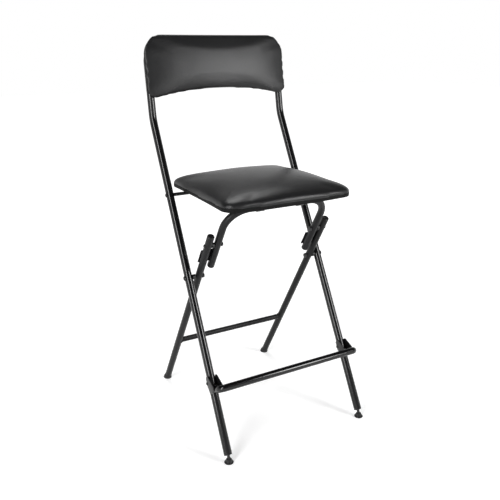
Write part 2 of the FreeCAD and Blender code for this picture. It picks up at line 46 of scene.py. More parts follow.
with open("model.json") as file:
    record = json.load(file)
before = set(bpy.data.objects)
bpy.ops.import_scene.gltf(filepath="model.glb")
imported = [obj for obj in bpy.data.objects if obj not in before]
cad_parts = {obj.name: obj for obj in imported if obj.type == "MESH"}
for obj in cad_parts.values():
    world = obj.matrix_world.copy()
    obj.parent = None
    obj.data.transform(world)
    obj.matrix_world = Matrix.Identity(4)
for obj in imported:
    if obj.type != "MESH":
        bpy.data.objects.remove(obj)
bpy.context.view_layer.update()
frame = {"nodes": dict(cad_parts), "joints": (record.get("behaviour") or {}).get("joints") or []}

MM = 0.001
AROUND = 48  # points round a tube or a turned piece
BODY_GAP = 0.3 * MM  # between pieces on different bodies
CLOSE_GAP = 0.1 * MM  # between a piece and what it is fastened to
JOINTS = {joint["name"]: np.array(joint["pos_m"]) for joint in frame["joints"]}
CROSS = JOINTS["leg_fold"]
KNEE = JOINTS["knee_fold"]
LINK_PIVOT = JOINTS["seat_fold"]
SIDES = (-1, 1)
X_AXIS = np.array((1.0, 0.0, 0.0))
UP = np.array((0.0, 0.0, 1.0))


def corners(node):
    """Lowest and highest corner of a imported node, as arrays."""
    low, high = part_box(node)
    return np.array(low), np.array(high)


def unit(vector):
    """Vector of length one in the same direction."""
    return vector / np.linalg.norm(vector)


def srgb(code):
    """Linear colour of an sRGB hex code."""
    values = [int(code[place:place + 2], 16) / 255 for place in (0, 2, 4)]
    linear = [value / 12.92 if value <= 0.04045 else ((value + 0.055) / 1.055) ** 2.4 for value in values]
    return (*linear, 1.0)


ROD_LOW, ROD_HIGH = corners("seat_rod")
SEAT_PIVOT = (ROD_LOW + ROD_HIGH) / 2
SEAT_LOW, SEAT_HIGH = corners("seat_cushion")
BOARD_LOW, BOARD_HIGH = corners("seat_board")
FRAME_HIGH = corners("frame_tube")[1]
LEG_LOW, LEG_HIGH = corners("rear_leg_right")
LINK_LOW, LINK_HIGH = corners("link_tube")
BAR_LOW, BAR_HIGH = corners("rear_crossbar")
GLIDE_LOW, GLIDE_HIGH = corners("glide_bases")
FRONT_UP = unit(SEAT_PIVOT - CROSS)
REAR_UP = unit(KNEE - CROSS)
FRONT_OUT = np.cross(X_AXIS, FRONT_UP)
REAR_BEHIND = np.cross(REAR_UP, X_AXIS)


class StoolFrameSizes(bpy.types.PropertyGroup):
    """Sizes of the tubes and their bends."""

    frame_tube: FloatProperty(
        name="Back frame tube", description="Outer diameter of the back frame's tube",
        default=22 * MM, unit="LENGTH")
    leg_tube: FloatProperty(
        name="Leg tube", description="Outer diameter of the rear legs and the seat link",
        default=float(LEG_HIGH[0] - LEG_LOW[0]), unit="LENGTH")
    footrest_tube: FloatProperty(
        name="Footrest tube", description="Outer diameter of the footrest bar",
        default=19 * MM, unit="LENGTH")
    back_lean: FloatProperty(
        name="Back lean", description="Lean of the back frame above its bend",
        default=math.radians(9.87), subtype="ANGLE")
    bend_height: FloatProperty(
        name="Bend height", description="Height of the bend below the backrest",
        default=847 * MM, unit="LENGTH")
    top_along: FloatProperty(
        name="Top rail", description="From the bend to the top rail's centre, along the back",
        default=222 * MM, unit="LENGTH")
    bend_radius: FloatProperty(
        name="Bend radius", description="Radius of the gentle bend below the backrest",
        default=120 * MM, unit="LENGTH")
    corner_radius: FloatProperty(
        name="Corner radius", description="Radius of the top corners and of the seat link's corners",
        default=62 * MM, unit="LENGTH")
    frame_end: FloatProperty(
        name="Front leg end", description="Height of the front legs' cut ends",
        default=22.5 * MM, unit="LENGTH")
    footrest_radius: FloatProperty(
        name="Footrest bend", description="Radius of the footrest bar's end bends",
        default=14 * MM, unit="LENGTH")
    footrest_out: FloatProperty(
        name="Footrest reach", description="From the front legs' line to the footrest bar",
        default=60 * MM, unit="LENGTH")
    footrest_height: FloatProperty(
        name="Footrest height", description="Height on the front leg that the footrest is square to",
        default=170 * MM, unit="LENGTH")
    bead: FloatProperty(
        name="Weld bead", description="Width of the weld beads round joined tubes",
        default=4.2 * MM, unit="LENGTH")


class StoolPadSizes(bpy.types.PropertyGroup):
    """Sizes of the seat and the backrest."""

    seat_front_corner: FloatProperty(
        name="Seat front corner", description="Corner radius at the front",
        default=35 * MM, unit="LENGTH")
    seat_rear_corner: FloatProperty(
        name="Seat rear corner", description="Corner radius at the rear",
        default=18 * MM, unit="LENGTH")
    seat_rear_width: FloatProperty(
        name="Seat rear width", description="Width of the seat at its rear corners",
        default=370 * MM, unit="LENGTH")
    seat_bow: FloatProperty(
        name="Seat front bow", description="How far the front edge bulges",
        default=8 * MM, unit="LENGTH")
    seat_side: FloatProperty(
        name="Seat side", description="Height of the seat's upright edge",
        default=11 * MM, unit="LENGTH")
    back_low: FloatProperty(
        name="Backrest low edge", description="From the bend to the lowest corners, along the back",
        default=58.5 * MM, unit="LENGTH")
    back_high: FloatProperty(
        name="Backrest top edge", description="From the bend to the top edge, along the back",
        default=239 * MM, unit="LENGTH")
    back_top_corner: FloatProperty(
        name="Backrest top corner", description="Radius of the top corners",
        default=58 * MM, unit="LENGTH")
    back_low_corner: FloatProperty(
        name="Backrest low corner", description="Radius of the low corners",
        default=27 * MM, unit="LENGTH")
    back_arch: FloatProperty(
        name="Backrest arch", description="Rise of the low edge at its middle",
        default=24 * MM, unit="LENGTH")
    back_side: FloatProperty(
        name="Backrest side", description="Height of the rolled edge",
        default=9 * MM, unit="LENGTH")
    back_crown: FloatProperty(
        name="Backrest crown", description="Swell of the foam above its edge",
        default=12 * MM, unit="LENGTH")
    voxel: FloatProperty(
        name="Voxel", description="Size of the remesh that the pads are simulated on",
        default=4.5 * MM, unit="LENGTH")
    frames: IntProperty(
        name="Frames", description="Steps of the pads' simulation",
        default=18)


class StoolFinish(bpy.types.PropertyGroup):
    """Colours of the finishes."""

    enamel: FloatVectorProperty(
        name="Enamel", description="Gloss black on the front frame",
        subtype="COLOR", size=3, default=srgb("070708")[:3])
    satin: FloatVectorProperty(
        name="Satin", description="Satin black on the rear frame",
        subtype="COLOR", size=3, default=srgb("121213")[:3])
    vinyl: FloatVectorProperty(
        name="Vinyl", description="Cover of the seat and backrest",
        subtype="COLOR", size=3, default=srgb("181819")[:3])


class StoolStage(bpy.types.PropertyGroup):
    """Camera and lamps."""

    lens: FloatProperty(
        name="Lens", description="Focal length of the camera, in millimetres",
        default=45.8272)
    yaw: FloatProperty(
        name="Yaw", description="How far the camera turns from looking straight back",
        default=0.5172, subtype="ANGLE")
    pitch: FloatProperty(
        name="Pitch", description="How far the camera looks down",
        default=0.2583, subtype="ANGLE")
    place: FloatVectorProperty(
        name="Camera place", description="Where the camera stands",
        size=3, subtype="TRANSLATION", default=(-0.8816, -1.5198, 1.0633))
    left_power: FloatProperty(
        name="Left lamp", description="Power of the tall lamp at the left, in watts",
        default=55)
    right_power: FloatProperty(
        name="Right lamp", description="Power of the tall lamp at the right, in watts",
        default=36)
    top_power: FloatProperty(
        name="Top lamp", description="Power of the broad lamp above and behind, in watts",
        default=26)
    shift: FloatVectorProperty(
        name="Camera shift", description="Sideways and upward shift of the picture, as shares of its width",
        size=2, default=(0.0017, -0.08))
    ceiling: FloatProperty(
        name="Ceiling", description="Strength of the dim light from above",
        default=0.07)


# A grid of points: rows along, columns around. Rows or columns can close on themselves, and caps close
# the first and the last row.
Grid = namedtuple("Grid", "points wrap_rows wrap_columns caps", defaults=(False, True, True))


def grid_faces(grid, first):
    """Quads between neighbouring rows and columns, and a face across each capped end."""
    rows, columns = grid.points.shape[:2]
    row_count = rows if grid.wrap_rows else rows - 1
    column_count = columns if grid.wrap_columns else columns - 1
    row, column = np.meshgrid(np.arange(row_count), np.arange(column_count), indexing="ij")
    next_row = (row + 1) % rows
    next_column = (column + 1) % columns
    quads = np.stack([row * columns + column, row * columns + next_column,
                      next_row * columns + next_column, next_row * columns + column], -1)
    faces = (quads.reshape(-1, 4) + first).tolist()
    if grid.caps and not grid.wrap_rows:
        ring = np.arange(columns) + first
        faces.append(ring[::-1].tolist())
        faces.append((ring + (rows - 1) * columns).tolist())
    return faces


def make_piece(name, grids, smooth_angle=35.0):
    """One mesh object from several grids, with its doubles merged and its faces pointing out."""
    faces = []
    first = 0
    for grid in grids:
        faces += grid_faces(grid, first)
        first += grid.points.shape[0] * grid.points.shape[1]
    points = np.concatenate([grid.points.reshape(-1, 3) for grid in grids])
    mesh = bpy.data.meshes.new(name)
    mesh.from_pydata(points.tolist(), [], faces)
    shell = bmesh.new()
    shell.from_mesh(mesh)
    bmesh.ops.remove_doubles(shell, verts=shell.verts, dist=0.002 * MM)
    bmesh.ops.recalc_face_normals(shell, faces=shell.faces)
    shell.to_mesh(mesh)
    shell.free()
    piece = bpy.data.objects.new(name, mesh)
    bpy.context.scene.collection.objects.link(piece)
    mesh.shade_smooth()
    mesh.set_sharp_from_angle(angle=math.radians(smooth_angle))
    return piece


def finish_piece(piece, body, slot, material, *nodes):
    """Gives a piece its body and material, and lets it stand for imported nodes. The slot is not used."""
    piece.data.materials.clear()
    piece.data.materials.append(material)
    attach(piece, body)
    if nodes:
        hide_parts(*nodes)
    return piece


def arc_points(centre, start, end, count):
    """Points on the circle about centre from start to end, turned evenly in their plane."""
    first = start - centre
    last = end - centre
    turn = math.acos(np.clip(unit(first) @ unit(last), -1, 1))
    shares = np.linspace(0, 1, count)[:, None]
    return centre + (np.sin((1 - shares) * turn) * first + np.sin(shares * turn) * last) / math.sin(turn)


def bent_line(points, radii, count=14):
    """Straight runs joined by tangent arcs at the inner points, as stations along the line."""
    parts = [points[:1]]
    for before, corner, after, radius in zip(points, points[1:], points[2:], radii):
        back = unit(before - corner)
        ahead = unit(after - corner)
        half = math.acos(np.clip(back @ ahead, -1, 1)) / 2
        reach = radius / math.tan(half)
        centre = corner + unit(back + ahead) * radius / math.sin(half)
        parts.append(arc_points(centre, corner + back * reach, corner + ahead * reach, count))
    parts.append(points[-1:])
    return np.concatenate(parts)


def carried(line, profile, side, wrap=False):
    """Grid of a profile of (across, up) points carried along a line, kept from twisting.

    Each station's side is the last one's with its part along the line taken off.
    """
    if wrap:
        ahead = np.roll(line, -1, 0) - np.roll(line, 1, 0)
    else:
        ahead = np.gradient(line, axis=0)
        ahead[1:-1] = unit_rows(line[2:] - line[1:-1]) + unit_rows(line[1:-1] - line[:-2])
    ahead = unit_rows(ahead)
    sides = np.empty_like(line)
    last = np.asarray(side, float)
    for station, way in enumerate(ahead):
        last = unit(last - way * (last @ way))
        sides[station] = last
    rises = np.cross(ahead, sides)
    if profile.ndim == 2:
        profile = np.broadcast_to(profile, (len(line), *profile.shape))
    points = line[:, None] + profile[..., :1] * sides[:, None] + profile[..., 1:] * rises[:, None]
    return Grid(points, wrap_rows=wrap)


def unit_rows(rows):
    """Each row scaled to length one."""
    return rows / np.linalg.norm(rows, axis=-1, keepdims=True)


def circle(radius, count=AROUND):
    """Ring of (across, up) points: radius times the cosine and sine of even angles."""
    angle = np.linspace(0, 2 * math.pi, count, endpoint=False)
    return radius * np.stack([np.cos(angle), np.sin(angle)], -1)


def rounded(corners_in, radius, count=5):
    """Polyline whose inner corners become short curves: a blend of the two sides by squared shares."""
    points = np.asarray(corners_in, float)
    parts = [points[:1]]
    share = np.linspace(0, 1, count)[:, None]
    for before, corner, after in zip(points, points[1:], points[2:]):
        back = before - corner
        ahead = after - corner
        start = corner + back * min(radius / np.linalg.norm(back), 0.45)
        end = corner + ahead * min(radius / np.linalg.norm(ahead), 0.45)
        parts.append((1 - share) ** 2 * start + 2 * share * (1 - share) * corner + share ** 2 * end)
    parts.append(points[-1:])
    return np.concatenate(parts)


def slab_profile(width, height, radius, count=4):
    """Closed rounded rectangle of (across, up) points, with arcs at its four corners."""
    angle = np.linspace(0, math.pi / 2, count)
    quarter = radius * np.stack([np.cos(angle), np.sin(angle)], -1)
    turns = []
    for number, (x, y) in enumerate(((1, 1), (-1, 1), (-1, -1), (1, -1))):
        spin = math.pi / 2 * number
        turn = np.array([[math.cos(spin), math.sin(spin)], [-math.sin(spin), math.cos(spin)]])
        turns.append(quarter @ turn + (x * (width / 2 - radius), y * (height / 2 - radius)))
    return np.concatenate(turns)


def turned(profile, base, axis, count=AROUND):
    """Grid of a profile of (radius, height) points turned about an axis through base."""
    profile = np.asarray(profile, float)
    axis = unit(np.asarray(axis, float))
    side = unit(np.cross(axis, X_AXIS if abs(axis[0]) < 0.9 else UP))
    rise = np.cross(axis, side)
    ring = circle(1.0, count)
    spokes = ring[:, :1] * side + ring[:, 1:] * rise
    points = base + profile[:, :1, None] * spokes + profile[:, 1:, None] * axis
    return Grid(points)


def dome_profile(radius, height, count=9):
    """(radius, height) points of a shallow cap: a slice of a ball, from its rim to its top."""
    ball = (radius ** 2 + height ** 2) / (2 * height)
    turn = np.linspace(math.asin(min(1, radius / ball)), 0, count)
    return np.stack([ball * np.sin(turn), ball * np.cos(turn) - ball + height], -1)


def tube(points, radii, diameter, side=X_AXIS):
    """Grid of a round tube along a bent line."""
    return carried(bent_line(np.array(points), radii), circle(diameter / 2), side)


def on_x(x, point):
    """The point moved to an x place."""
    return np.array((x, point[1], point[2]))


def on_line(origin, way, height):
    """Point of a leaning line at a height."""
    return origin + way * ((height - origin[2]) / way[2])


# Node graphs
def add_node(tree, kind, settings=None, inputs=None, links=None):
    """Adds a node with attribute settings, socket values, and links from other sockets."""
    node = tree.nodes.new(kind)
    for name, value in (settings or {}).items():
        setattr(node, name, value)
    for name, value in (inputs or {}).items():
        node.inputs[name].default_value = value
    for name, socket in (links or {}).items():
        tree.links.new(socket, node.inputs[name])
    return node


def ramp(tree, socket, low, high, dark, light):
    """Grey or coloured ramp of a 0 to 1 socket between two places."""
    node = add_node(tree, "ShaderNodeValToRGB", links={"Fac": socket})
    node.color_ramp.elements[0].position = low
    node.color_ramp.elements[0].color = dark
    node.color_ramp.elements[1].position = high
    node.color_ramp.elements[1].color = light
    return node.outputs["Color"]


def new_material(name, inputs):
    """Material with an empty graph but its shader; returns it, its tree, shader and Object coordinates."""
    material = bpy.data.materials.new(name)
    material.use_nodes = True
    tree = material.node_tree
    tree.nodes.clear()
    output = add_node(tree, "ShaderNodeOutputMaterial")
    shader = add_node(tree, "ShaderNodeBsdfPrincipled", inputs=inputs)
    tree.links.new(shader.outputs["BSDF"], output.inputs["Surface"])
    place = add_node(tree, "ShaderNodeTexCoord").outputs["Object"]
    return material, tree, shader, place


def grey(value):
    """Opaque grey of a linear value."""
    return (value, value, value, 1.0)


def brighter(colour, times):
    """Opaque colour whose channels are times as light."""
    return (*[channel * times for channel in colour[:3]], 1.0)


def noise(tree, place, size, detail=3.0, roughness=0.55):
    """Noise whose blobs are about the given size in metres."""
    inputs = {"Scale": 1 / size, "Detail": detail, "Roughness": roughness}
    return add_node(tree, "ShaderNodeTexNoise", inputs=inputs, links={"Vector": place}).outputs["Fac"]


def bump(tree, height, depth, under=None):
    """Bump of a 0 to 1 height socket that is depth metres deep, over another bump where given."""
    links = {"Height": height}
    if under is not None:
        links["Normal"] = under
    return add_node(tree, "ShaderNodeBump", inputs={"Distance": depth, "Strength": 1.0},
                    links=links).outputs["Normal"]


def painted_steel(name, colour, lighter, roughness, peel_depth, shine):
    """Powder-coated steel: orange peel, which makes highlights waver, and faint dust and rub marks.

    Real peel is about 1 mm wide. It is drawn 2.2 mm wide, because it would be too fine to show.
    """
    material, tree, shader, place = new_material(name, {"Specular IOR Level": shine, "IOR": 1.5})
    dust = noise(tree, place, 90 * MM, 5)
    tint = ramp(tree, dust, 0.35, 0.75, colour, lighter)
    tree.links.new(tint, shader.inputs["Base Color"])
    rub = noise(tree, place, 14 * MM, 4)
    gloss = ramp(tree, rub, 0.3, 0.8, grey(roughness), grey(roughness * 1.35))
    tree.links.new(gloss, shader.inputs["Roughness"])
    peel = noise(tree, place, 2.2 * MM, 2)
    tree.links.new(bump(tree, peel, peel_depth), shader.inputs["Normal"])
    return material


def vinyl_cover(name, colour):
    """Embossed upholstery vinyl: grain cells with fine creases between them, painted shade that darkens the
    creases, and a soft sheen.

    Real cells are about 1 mm wide. They are drawn 1.9 mm wide, because they would be too fine to show.
    """
    material, tree, shader, place = new_material(
        name, {"Specular IOR Level": 0.3, "IOR": 1.5, "Sheen Weight": 0.02, "Sheen Roughness": 0.4})
    warp = noise(tree, place, 6 * MM, 2)
    bent = add_node(tree, "ShaderNodeMix", {"data_type": "VECTOR"}, {"Factor": 0.0015},
                    {"A": place, "B": warp}).outputs["Result"]
    cells = add_node(tree, "ShaderNodeTexVoronoi", {"feature": "DISTANCE_TO_EDGE"},
                     {"Scale": 1 / (1.9 * MM), "Randomness": 1.0}, {"Vector": bent}).outputs["Distance"]
    grain = ramp(tree, cells, 0.0, 0.28, grey(0.0), grey(1.0))
    broad = noise(tree, place, 60 * MM, 4)
    tint = ramp(tree, broad, 0.3, 0.75, brighter(colour, 0.86), brighter(colour, 1.16))
    # Painted shade: the base colour is darkened by up to 35% towards the creases between grain cells
    painted_crease_shade = add_node(tree, "ShaderNodeMix", {"data_type": "RGBA", "blend_type": "MULTIPLY"},
                     {"Factor": 0.35}, {"A": tint, "B": grain}).outputs["Result"]
    tree.links.new(painted_crease_shade, shader.inputs["Base Color"])
    wear = noise(tree, place, 25 * MM, 3)
    tree.links.new(ramp(tree, wear, 0.25, 0.8, grey(0.32), grey(0.35)), shader.inputs["Roughness"])
    soft = bump(tree, noise(tree, place, 14 * MM, 2), 0.02 * MM)
    tree.links.new(bump(tree, grain, 0.06 * MM, soft), shader.inputs["Normal"])
    return material


def moulded(name, colour, roughness, pit_size, pit_depth, shine=0.4):
    """Injection-moulded or cured surface: fine spark texture, a little lighter where it is rubbed."""
    material, tree, shader, place = new_material(name, {"Specular IOR Level": shine, "IOR": 1.49})
    rub = noise(tree, place, 12 * MM, 4)
    tree.links.new(ramp(tree, rub, 0.4, 0.85, colour, brighter(colour, 1.6)), shader.inputs["Base Color"])
    pits = noise(tree, place, pit_size, 3)
    dull = ramp(tree, pits, 0.3, 0.7, grey(roughness), grey(roughness + 0.12))
    tree.links.new(dull, shader.inputs["Roughness"])
    tree.links.new(bump(tree, pits, pit_depth), shader.inputs["Normal"])
    return material


def zinc_plate(name):
    """Zinc-plated steel: pale, slightly blue, with clouds 5 mm wide and drawn lines 0.4 mm apart."""
    material, tree, shader, place = new_material(name, {"Metallic": 1.0})
    cloud = noise(tree, place, 5 * MM, 5)
    tree.links.new(ramp(tree, cloud, 0.3, 0.7, srgb("8f9296"), srgb("bfc1c2")), shader.inputs["Base Color"])
    tree.links.new(ramp(tree, cloud, 0.3, 0.7, grey(0.27), grey(0.42)), shader.inputs["Roughness"])
    lines = add_node(tree, "ShaderNodeTexWave", {"bands_direction": "X"},
                     {"Scale": 1 / (1.2 * MM), "Distortion": 1.5}, {"Vector": place}).outputs["Fac"]
    tree.links.new(bump(tree, lines, 0.01 * MM), shader.inputs["Normal"])
    return material


def stained_board(name):
    """Plywood painted black on its faces: long grain 2.5 mm wide shows through the thin paint."""
    material, tree, shader, place = new_material(name, {"Specular IOR Level": 0.35, "IOR": 1.5})
    long_way = add_node(tree, "ShaderNodeMapping", inputs={"Scale": (0.06, 1.0, 1.0)},
                        links={"Vector": place}).outputs["Vector"]
    grain = noise(tree, long_way, 2.5 * MM, 5, 0.65)
    stain = ramp(tree, grain, 0.35, 0.7, srgb("1b1a19"), srgb("34302c"))
    tree.links.new(stain, shader.inputs["Base Color"])
    tree.links.new(ramp(tree, grain, 0.3, 0.7, grey(0.55), grey(0.75)), shader.inputs["Roughness"])
    tree.links.new(bump(tree, grain, 0.12 * MM), shader.inputs["Normal"])
    return material


def finishes():
    """The stool's materials by name, made once."""
    made = bpy.data.materials
    colours = bpy.context.scene.stool_finish
    if "gloss_black_enamel" not in made:
        enamel = tuple(colours.enamel)
        satin = tuple(colours.satin)
        painted_steel("gloss_black_enamel", (*enamel, 1.0), brighter(enamel, 1.8), 0.13, 0.008 * MM, 0.4)
        painted_steel("satin_black_powder_coat", (*satin, 1.0), brighter(satin, 1.5), 0.36, 0.02 * MM, 0.2)
        painted_steel("black_steel_strip", srgb("131314"), srgb("1c1c1d"), 0.26, 0.015 * MM, 0.4)
        vinyl_cover("embossed_vinyl", tuple(colours.vinyl))
        # A darker, duller copy of the cover's vinyl for the seat's side: painted shade
        moulded("matt_vinyl_edge", srgb("070707"), 0.55, 1.4 * MM, 0.04 * MM, 0.12)
        moulded("moulded_black_polyethylene", srgb("0f0f10"), 0.34, 0.7 * MM, 0.02 * MM)
        moulded("black_rubber", srgb("121211"), 0.62, 1.2 * MM, 0.05 * MM)
        zinc_plate("zinc_plated_steel")
        stained_board("black_painted_plywood")
    return made


# Tubes
def frame_places():
    """Centres of the back frame's bend and top rail in the side view, and the back's up and out."""
    sizes = bpy.context.scene.stool_frame
    back_up = np.array((0.0, math.sin(sizes.back_lean), math.cos(sizes.back_lean)))
    bend = on_line(SEAT_PIVOT, FRONT_UP, sizes.bend_height)
    return bend, bend + back_up * sizes.top_along, back_up, np.cross(X_AXIS, back_up)


class STOOL_OT_back_frame(bpy.types.Operator):
    """Build the bent tube that makes the front legs and the back"""

    bl_idname = "stool.back_frame"
    bl_label = "Back frame"

    def execute(self, context):
        sizes = context.scene.stool_frame
        bend, top, _, _ = frame_places()
        foot = on_line(SEAT_PIVOT, FRONT_UP, sizes.frame_end)
        half = float(FRAME_HIGH[0]) - sizes.frame_tube / 2
        points = [on_x(-half, foot), on_x(-half, bend), on_x(-half, top)]
        points += [on_x(half, top), on_x(half, bend), on_x(half, foot)]
        radii = [sizes.bend_radius, sizes.corner_radius, sizes.corner_radius, sizes.bend_radius]
        piece = make_piece("back_frame", [tube(points, radii, sizes.frame_tube)])
        finish_piece(piece, "frame", "gloss_black_paint", finishes()["gloss_black_enamel"], "frame_tube")
        return {"FINISHED"}


def coped_bead(centre, bar_radius, leg_radius, leg_way, side, width):
    """Weld bead where a bar along X meets a leg: on the bar's ring, x steps back by the leg's curve there.

    The bead's width is 1 plus two small sines along its length, as a hand weld's ripples are.
    """
    angle = np.linspace(0, 2 * math.pi, 64, endpoint=False)
    across = np.cross(X_AXIS, leg_way)
    ring = bar_radius * (np.cos(angle)[:, None] * leg_way + np.sin(angle)[:, None] * across)
    depth = np.sqrt(leg_radius ** 2 - (ring @ across) ** 2)
    line = centre + ring - side * depth[:, None] * X_AXIS
    ripple = 1 + 0.10 * np.sin(angle * 17 + side) + 0.05 * np.sin(angle * 29 + 2 * side)
    profile = circle(width / 2, 12)[None] * ripple[:, None, None]
    return carried(line, profile, leg_way, wrap=True)


class STOOL_OT_rear_frame(bpy.types.Operator):
    """Build the rear legs, the bar between them and its welds"""

    bl_idname = "stool.rear_frame"
    bl_label = "Rear frame"

    def execute(self, context):
        sizes = context.scene.stool_frame
        made = finishes()
        satin = made["satin_black_powder_coat"]
        half = float(LEG_LOW[0] + LEG_HIGH[0]) / 2
        radius = sizes.leg_tube / 2
        rise = radius * abs(REAR_UP[1])
        low = on_line(KNEE, REAR_UP, float(LEG_LOW[2]) + rise)
        high = on_line(KNEE, REAR_UP, float(LEG_HIGH[2]) - rise)
        for side, name in zip(SIDES, ("rear_leg_left", "rear_leg_right")):
            line = [on_x(side * half, low), on_x(side * half, high)]
            piece = make_piece(name + "_tube", [tube(line, [], sizes.leg_tube)])
            finish_piece(piece, "rear_legs", "satin_black_paint", satin, name)
        centre = (BAR_LOW + BAR_HIGH) / 2
        diameter = float(BAR_HIGH[2] - BAR_LOW[2])
        ends = [on_x(-half + radius / 2, centre), on_x(half - radius / 2, centre)]
        bar = make_piece("rear_bar", [tube(ends, [], diameter, REAR_UP)])
        finish_piece(bar, "rear_legs", "satin_black_paint", satin, "rear_crossbar")
        beads = [coped_bead(on_x(side * half, centre), diameter / 2, radius, REAR_UP, side, sizes.bead)
                 for side in SIDES]
        finish_piece(make_piece("rear_bar_welds", beads), "rear_legs", "satin_black_paint", satin)
        return {"FINISHED"}


class STOOL_OT_seat_link(bpy.types.Operator):
    """Build the U-shaped tube under the seat's front and its stop plates"""

    bl_idname = "stool.seat_link"
    bl_label = "Seat link"

    def execute(self, context):
        sizes = context.scene.stool_frame
        satin = finishes()["satin_black_powder_coat"]
        radius = sizes.leg_tube / 2
        half = float(LINK_HIGH[0]) - radius
        low = on_line(KNEE, REAR_UP, float(LINK_LOW[2]) + radius * abs(REAR_UP[1]))
        points = [on_x(-half, low), on_x(-half, LINK_PIVOT), on_x(half, LINK_PIVOT), on_x(half, low)]
        link = make_piece("seat_link_tube", [tube(points, [sizes.corner_radius] * 2, sizes.leg_tube)])
        finish_piece(link, "seat_link", "satin_black_paint", satin, "link_tube")
        stop_low, stop_high = corners("link_stops")
        thickness = 1.2 * MM
        overhang = 2.5 * MM
        near = radius + BODY_GAP
        drop = abs(REAR_BEHIND[2])
        start = on_line(KNEE, REAR_UP, float(stop_low[2]) + drop * (near + thickness))
        end = on_line(KNEE, REAR_UP, float(stop_high[2]) + drop * near)
        inner = half - radius - overhang
        outer = float(stop_high[0])
        profile = slab_profile(outer - inner, thickness, thickness * 0.42)
        behind = REAR_BEHIND * (near + thickness / 2)
        plates = []
        welds = []
        for side in SIDES:
            middle = side * (inner + outer) / 2
            line = np.linspace(on_x(middle, start + behind), on_x(middle, end + behind), 5)
            plates.append(carried(line, profile, X_AXIS))
            welds += [self.seam(side * half, way, start, end) for way in (-1, 1)]
        plate_piece = make_piece("seat_link_stop_plates", plates)
        finish_piece(plate_piece, "seat_link", "satin_black_paint", satin, "link_stops")
        finish_piece(make_piece("stop_plate_welds", welds), "seat_link", "satin_black_paint", satin)
        return {"FINISHED"}

    def seam(self, middle, way, start, end):
        """Weld seam between a stop plate and one flank of the link's tube.

        Its width is 1 plus a small sine along it. It lies on the tube's flank, at two shares of the tube's
        radius, and stops short of the plate's ends.
        """
        sizes = bpy.context.scene.stool_frame
        radius = sizes.leg_tube / 2
        aside, behind = 0.62, 0.86
        share = np.linspace(0.06, 0.94, 40)[:, None]
        near = on_x(middle + way * radius * aside, start + REAR_BEHIND * radius * behind)
        far = on_x(middle + way * radius * aside, end + REAR_BEHIND * radius * behind)
        ripple = 1 + 0.12 * np.sin(share * 70 + way)
        bead = circle(sizes.bead * 0.36, 10)[None] * ripple[..., None]
        return carried(near + (far - near) * share, bead, X_AXIS)


# Footrest
def footrest_line():
    """Place on the front leg that the footrest is square to."""
    return on_line(SEAT_PIVOT, FRONT_UP, bpy.context.scene.stool_frame.footrest_height)


class STOOL_OT_footrest(bpy.types.Operator):
    """Build the footrest bar, its strap brackets and their bolts"""

    bl_idname = "stool.footrest"
    bl_label = "Footrest"

    def execute(self, context):
        sizes = context.scene.stool_frame
        made = finishes()
        sunk = 1.0 * MM
        bolt_rise = 18 * MM
        strap_face = 14.5 * MM
        end_x = float(corners("footrest_bar")[1][0]) - sizes.footrest_tube / 2
        leg = footrest_line()
        back = leg + FRONT_OUT * (sizes.frame_tube / 2 - sunk)
        front = leg + FRONT_OUT * sizes.footrest_out
        points = [on_x(-end_x, back), on_x(-end_x, front), on_x(end_x, front), on_x(end_x, back)]
        grid = tube(points, [sizes.footrest_radius] * 2, sizes.footrest_tube, UP)
        bar = make_piece("footrest_tube", [grid])
        finish_piece(bar, "frame", "gloss_black_paint", made["gloss_black_enamel"], "footrest_bar")
        straps = [self.strap(side) for side in SIDES]
        bracket = make_piece("footrest_straps", straps)
        finish_piece(bracket, "frame", "black_steel", made["black_steel_strip"], "footrest_brackets")
        half = float(FRAME_HIGH[0]) - sizes.frame_tube / 2
        place = leg + FRONT_UP * bolt_rise
        profile = head_profile(4.5 * MM, 2.5 * MM, 2 * MM)
        heads = [turned(profile, on_x(side * half + way * strap_face, place), X_AXIS * way)
                 for side in SIDES for way in (-1, 1)]
        bolts = make_piece("footrest_rivets", heads)
        finish_piece(bolts, "frame", "black_steel", made["black_steel_strip"], "footrest_bolts")
        return {"FINISHED"}

    def strap(self, side):
        """Steel strap bent round the back of a leg: a strip that stands on a U-shaped line.

        Its low and high edges follow straight pieces between (out, height) places, and its profile is
        stretched to the height between them.
        """
        sizes = bpy.context.scene.stool_frame
        half = float(FRAME_HIGH[0]) - sizes.frame_tube / 2
        leg = on_x(side * half, footrest_line())
        middle = 13.4 * MM
        shift = 1.2 * MM
        reach = 34 * MM
        thickness = 2.0 * MM
        breadth = 20 * MM
        low_edge = np.array([(-1, 6), (0.5, 6), (5.5, -9), (22, -9), (34, 0)]) * MM
        high_edge = np.array([(-1, 32), (1.5, 36), (12, 36), (34, 9)]) * MM
        turn = np.linspace(0, math.pi, 25)
        out = np.concatenate([np.linspace(reach, shift, 24), shift - middle * np.sin(turn)[1:-1],
                              np.linspace(shift, reach, 24)])
        across = np.concatenate([np.full(24, middle), middle * np.cos(turn)[1:-1], np.full(24, -middle)])
        low = np.interp(out, *low_edge.T)
        high = np.interp(out, *high_edge.T)
        line = leg + across[:, None] * X_AXIS + out[:, None] * FRONT_OUT
        walls = np.cross(unit_rows(np.gradient(line, axis=0)), FRONT_UP)
        strip = slab_profile(breadth, thickness, 0.8 * MM)
        rise = ((low + high) / 2)[:, None] + strip[:, 0] / breadth * (high - low)[:, None]
        return Grid(line[:, None] + strip[:, 1:] * walls[:, None] + rise[..., None] * FRONT_UP)


# Pivot hardware
def head_profile(radius, height, shank):
    """Domed head on a short shank, as (radius, height) points from the shank's end to the top."""
    rim = 0.5 * MM
    neck = radius * 0.55
    eased = radius * 0.97
    edge = rounded([(eased, 0), (radius, rim / 2), (radius, rim)], 0.2 * MM)
    dome = dome_profile(radius, height - rim) + (0, rim)
    return np.concatenate([[(0, -shank), (neck, -shank), (neck, 0), (eased, 0)], edge[1:], dome[1:]])


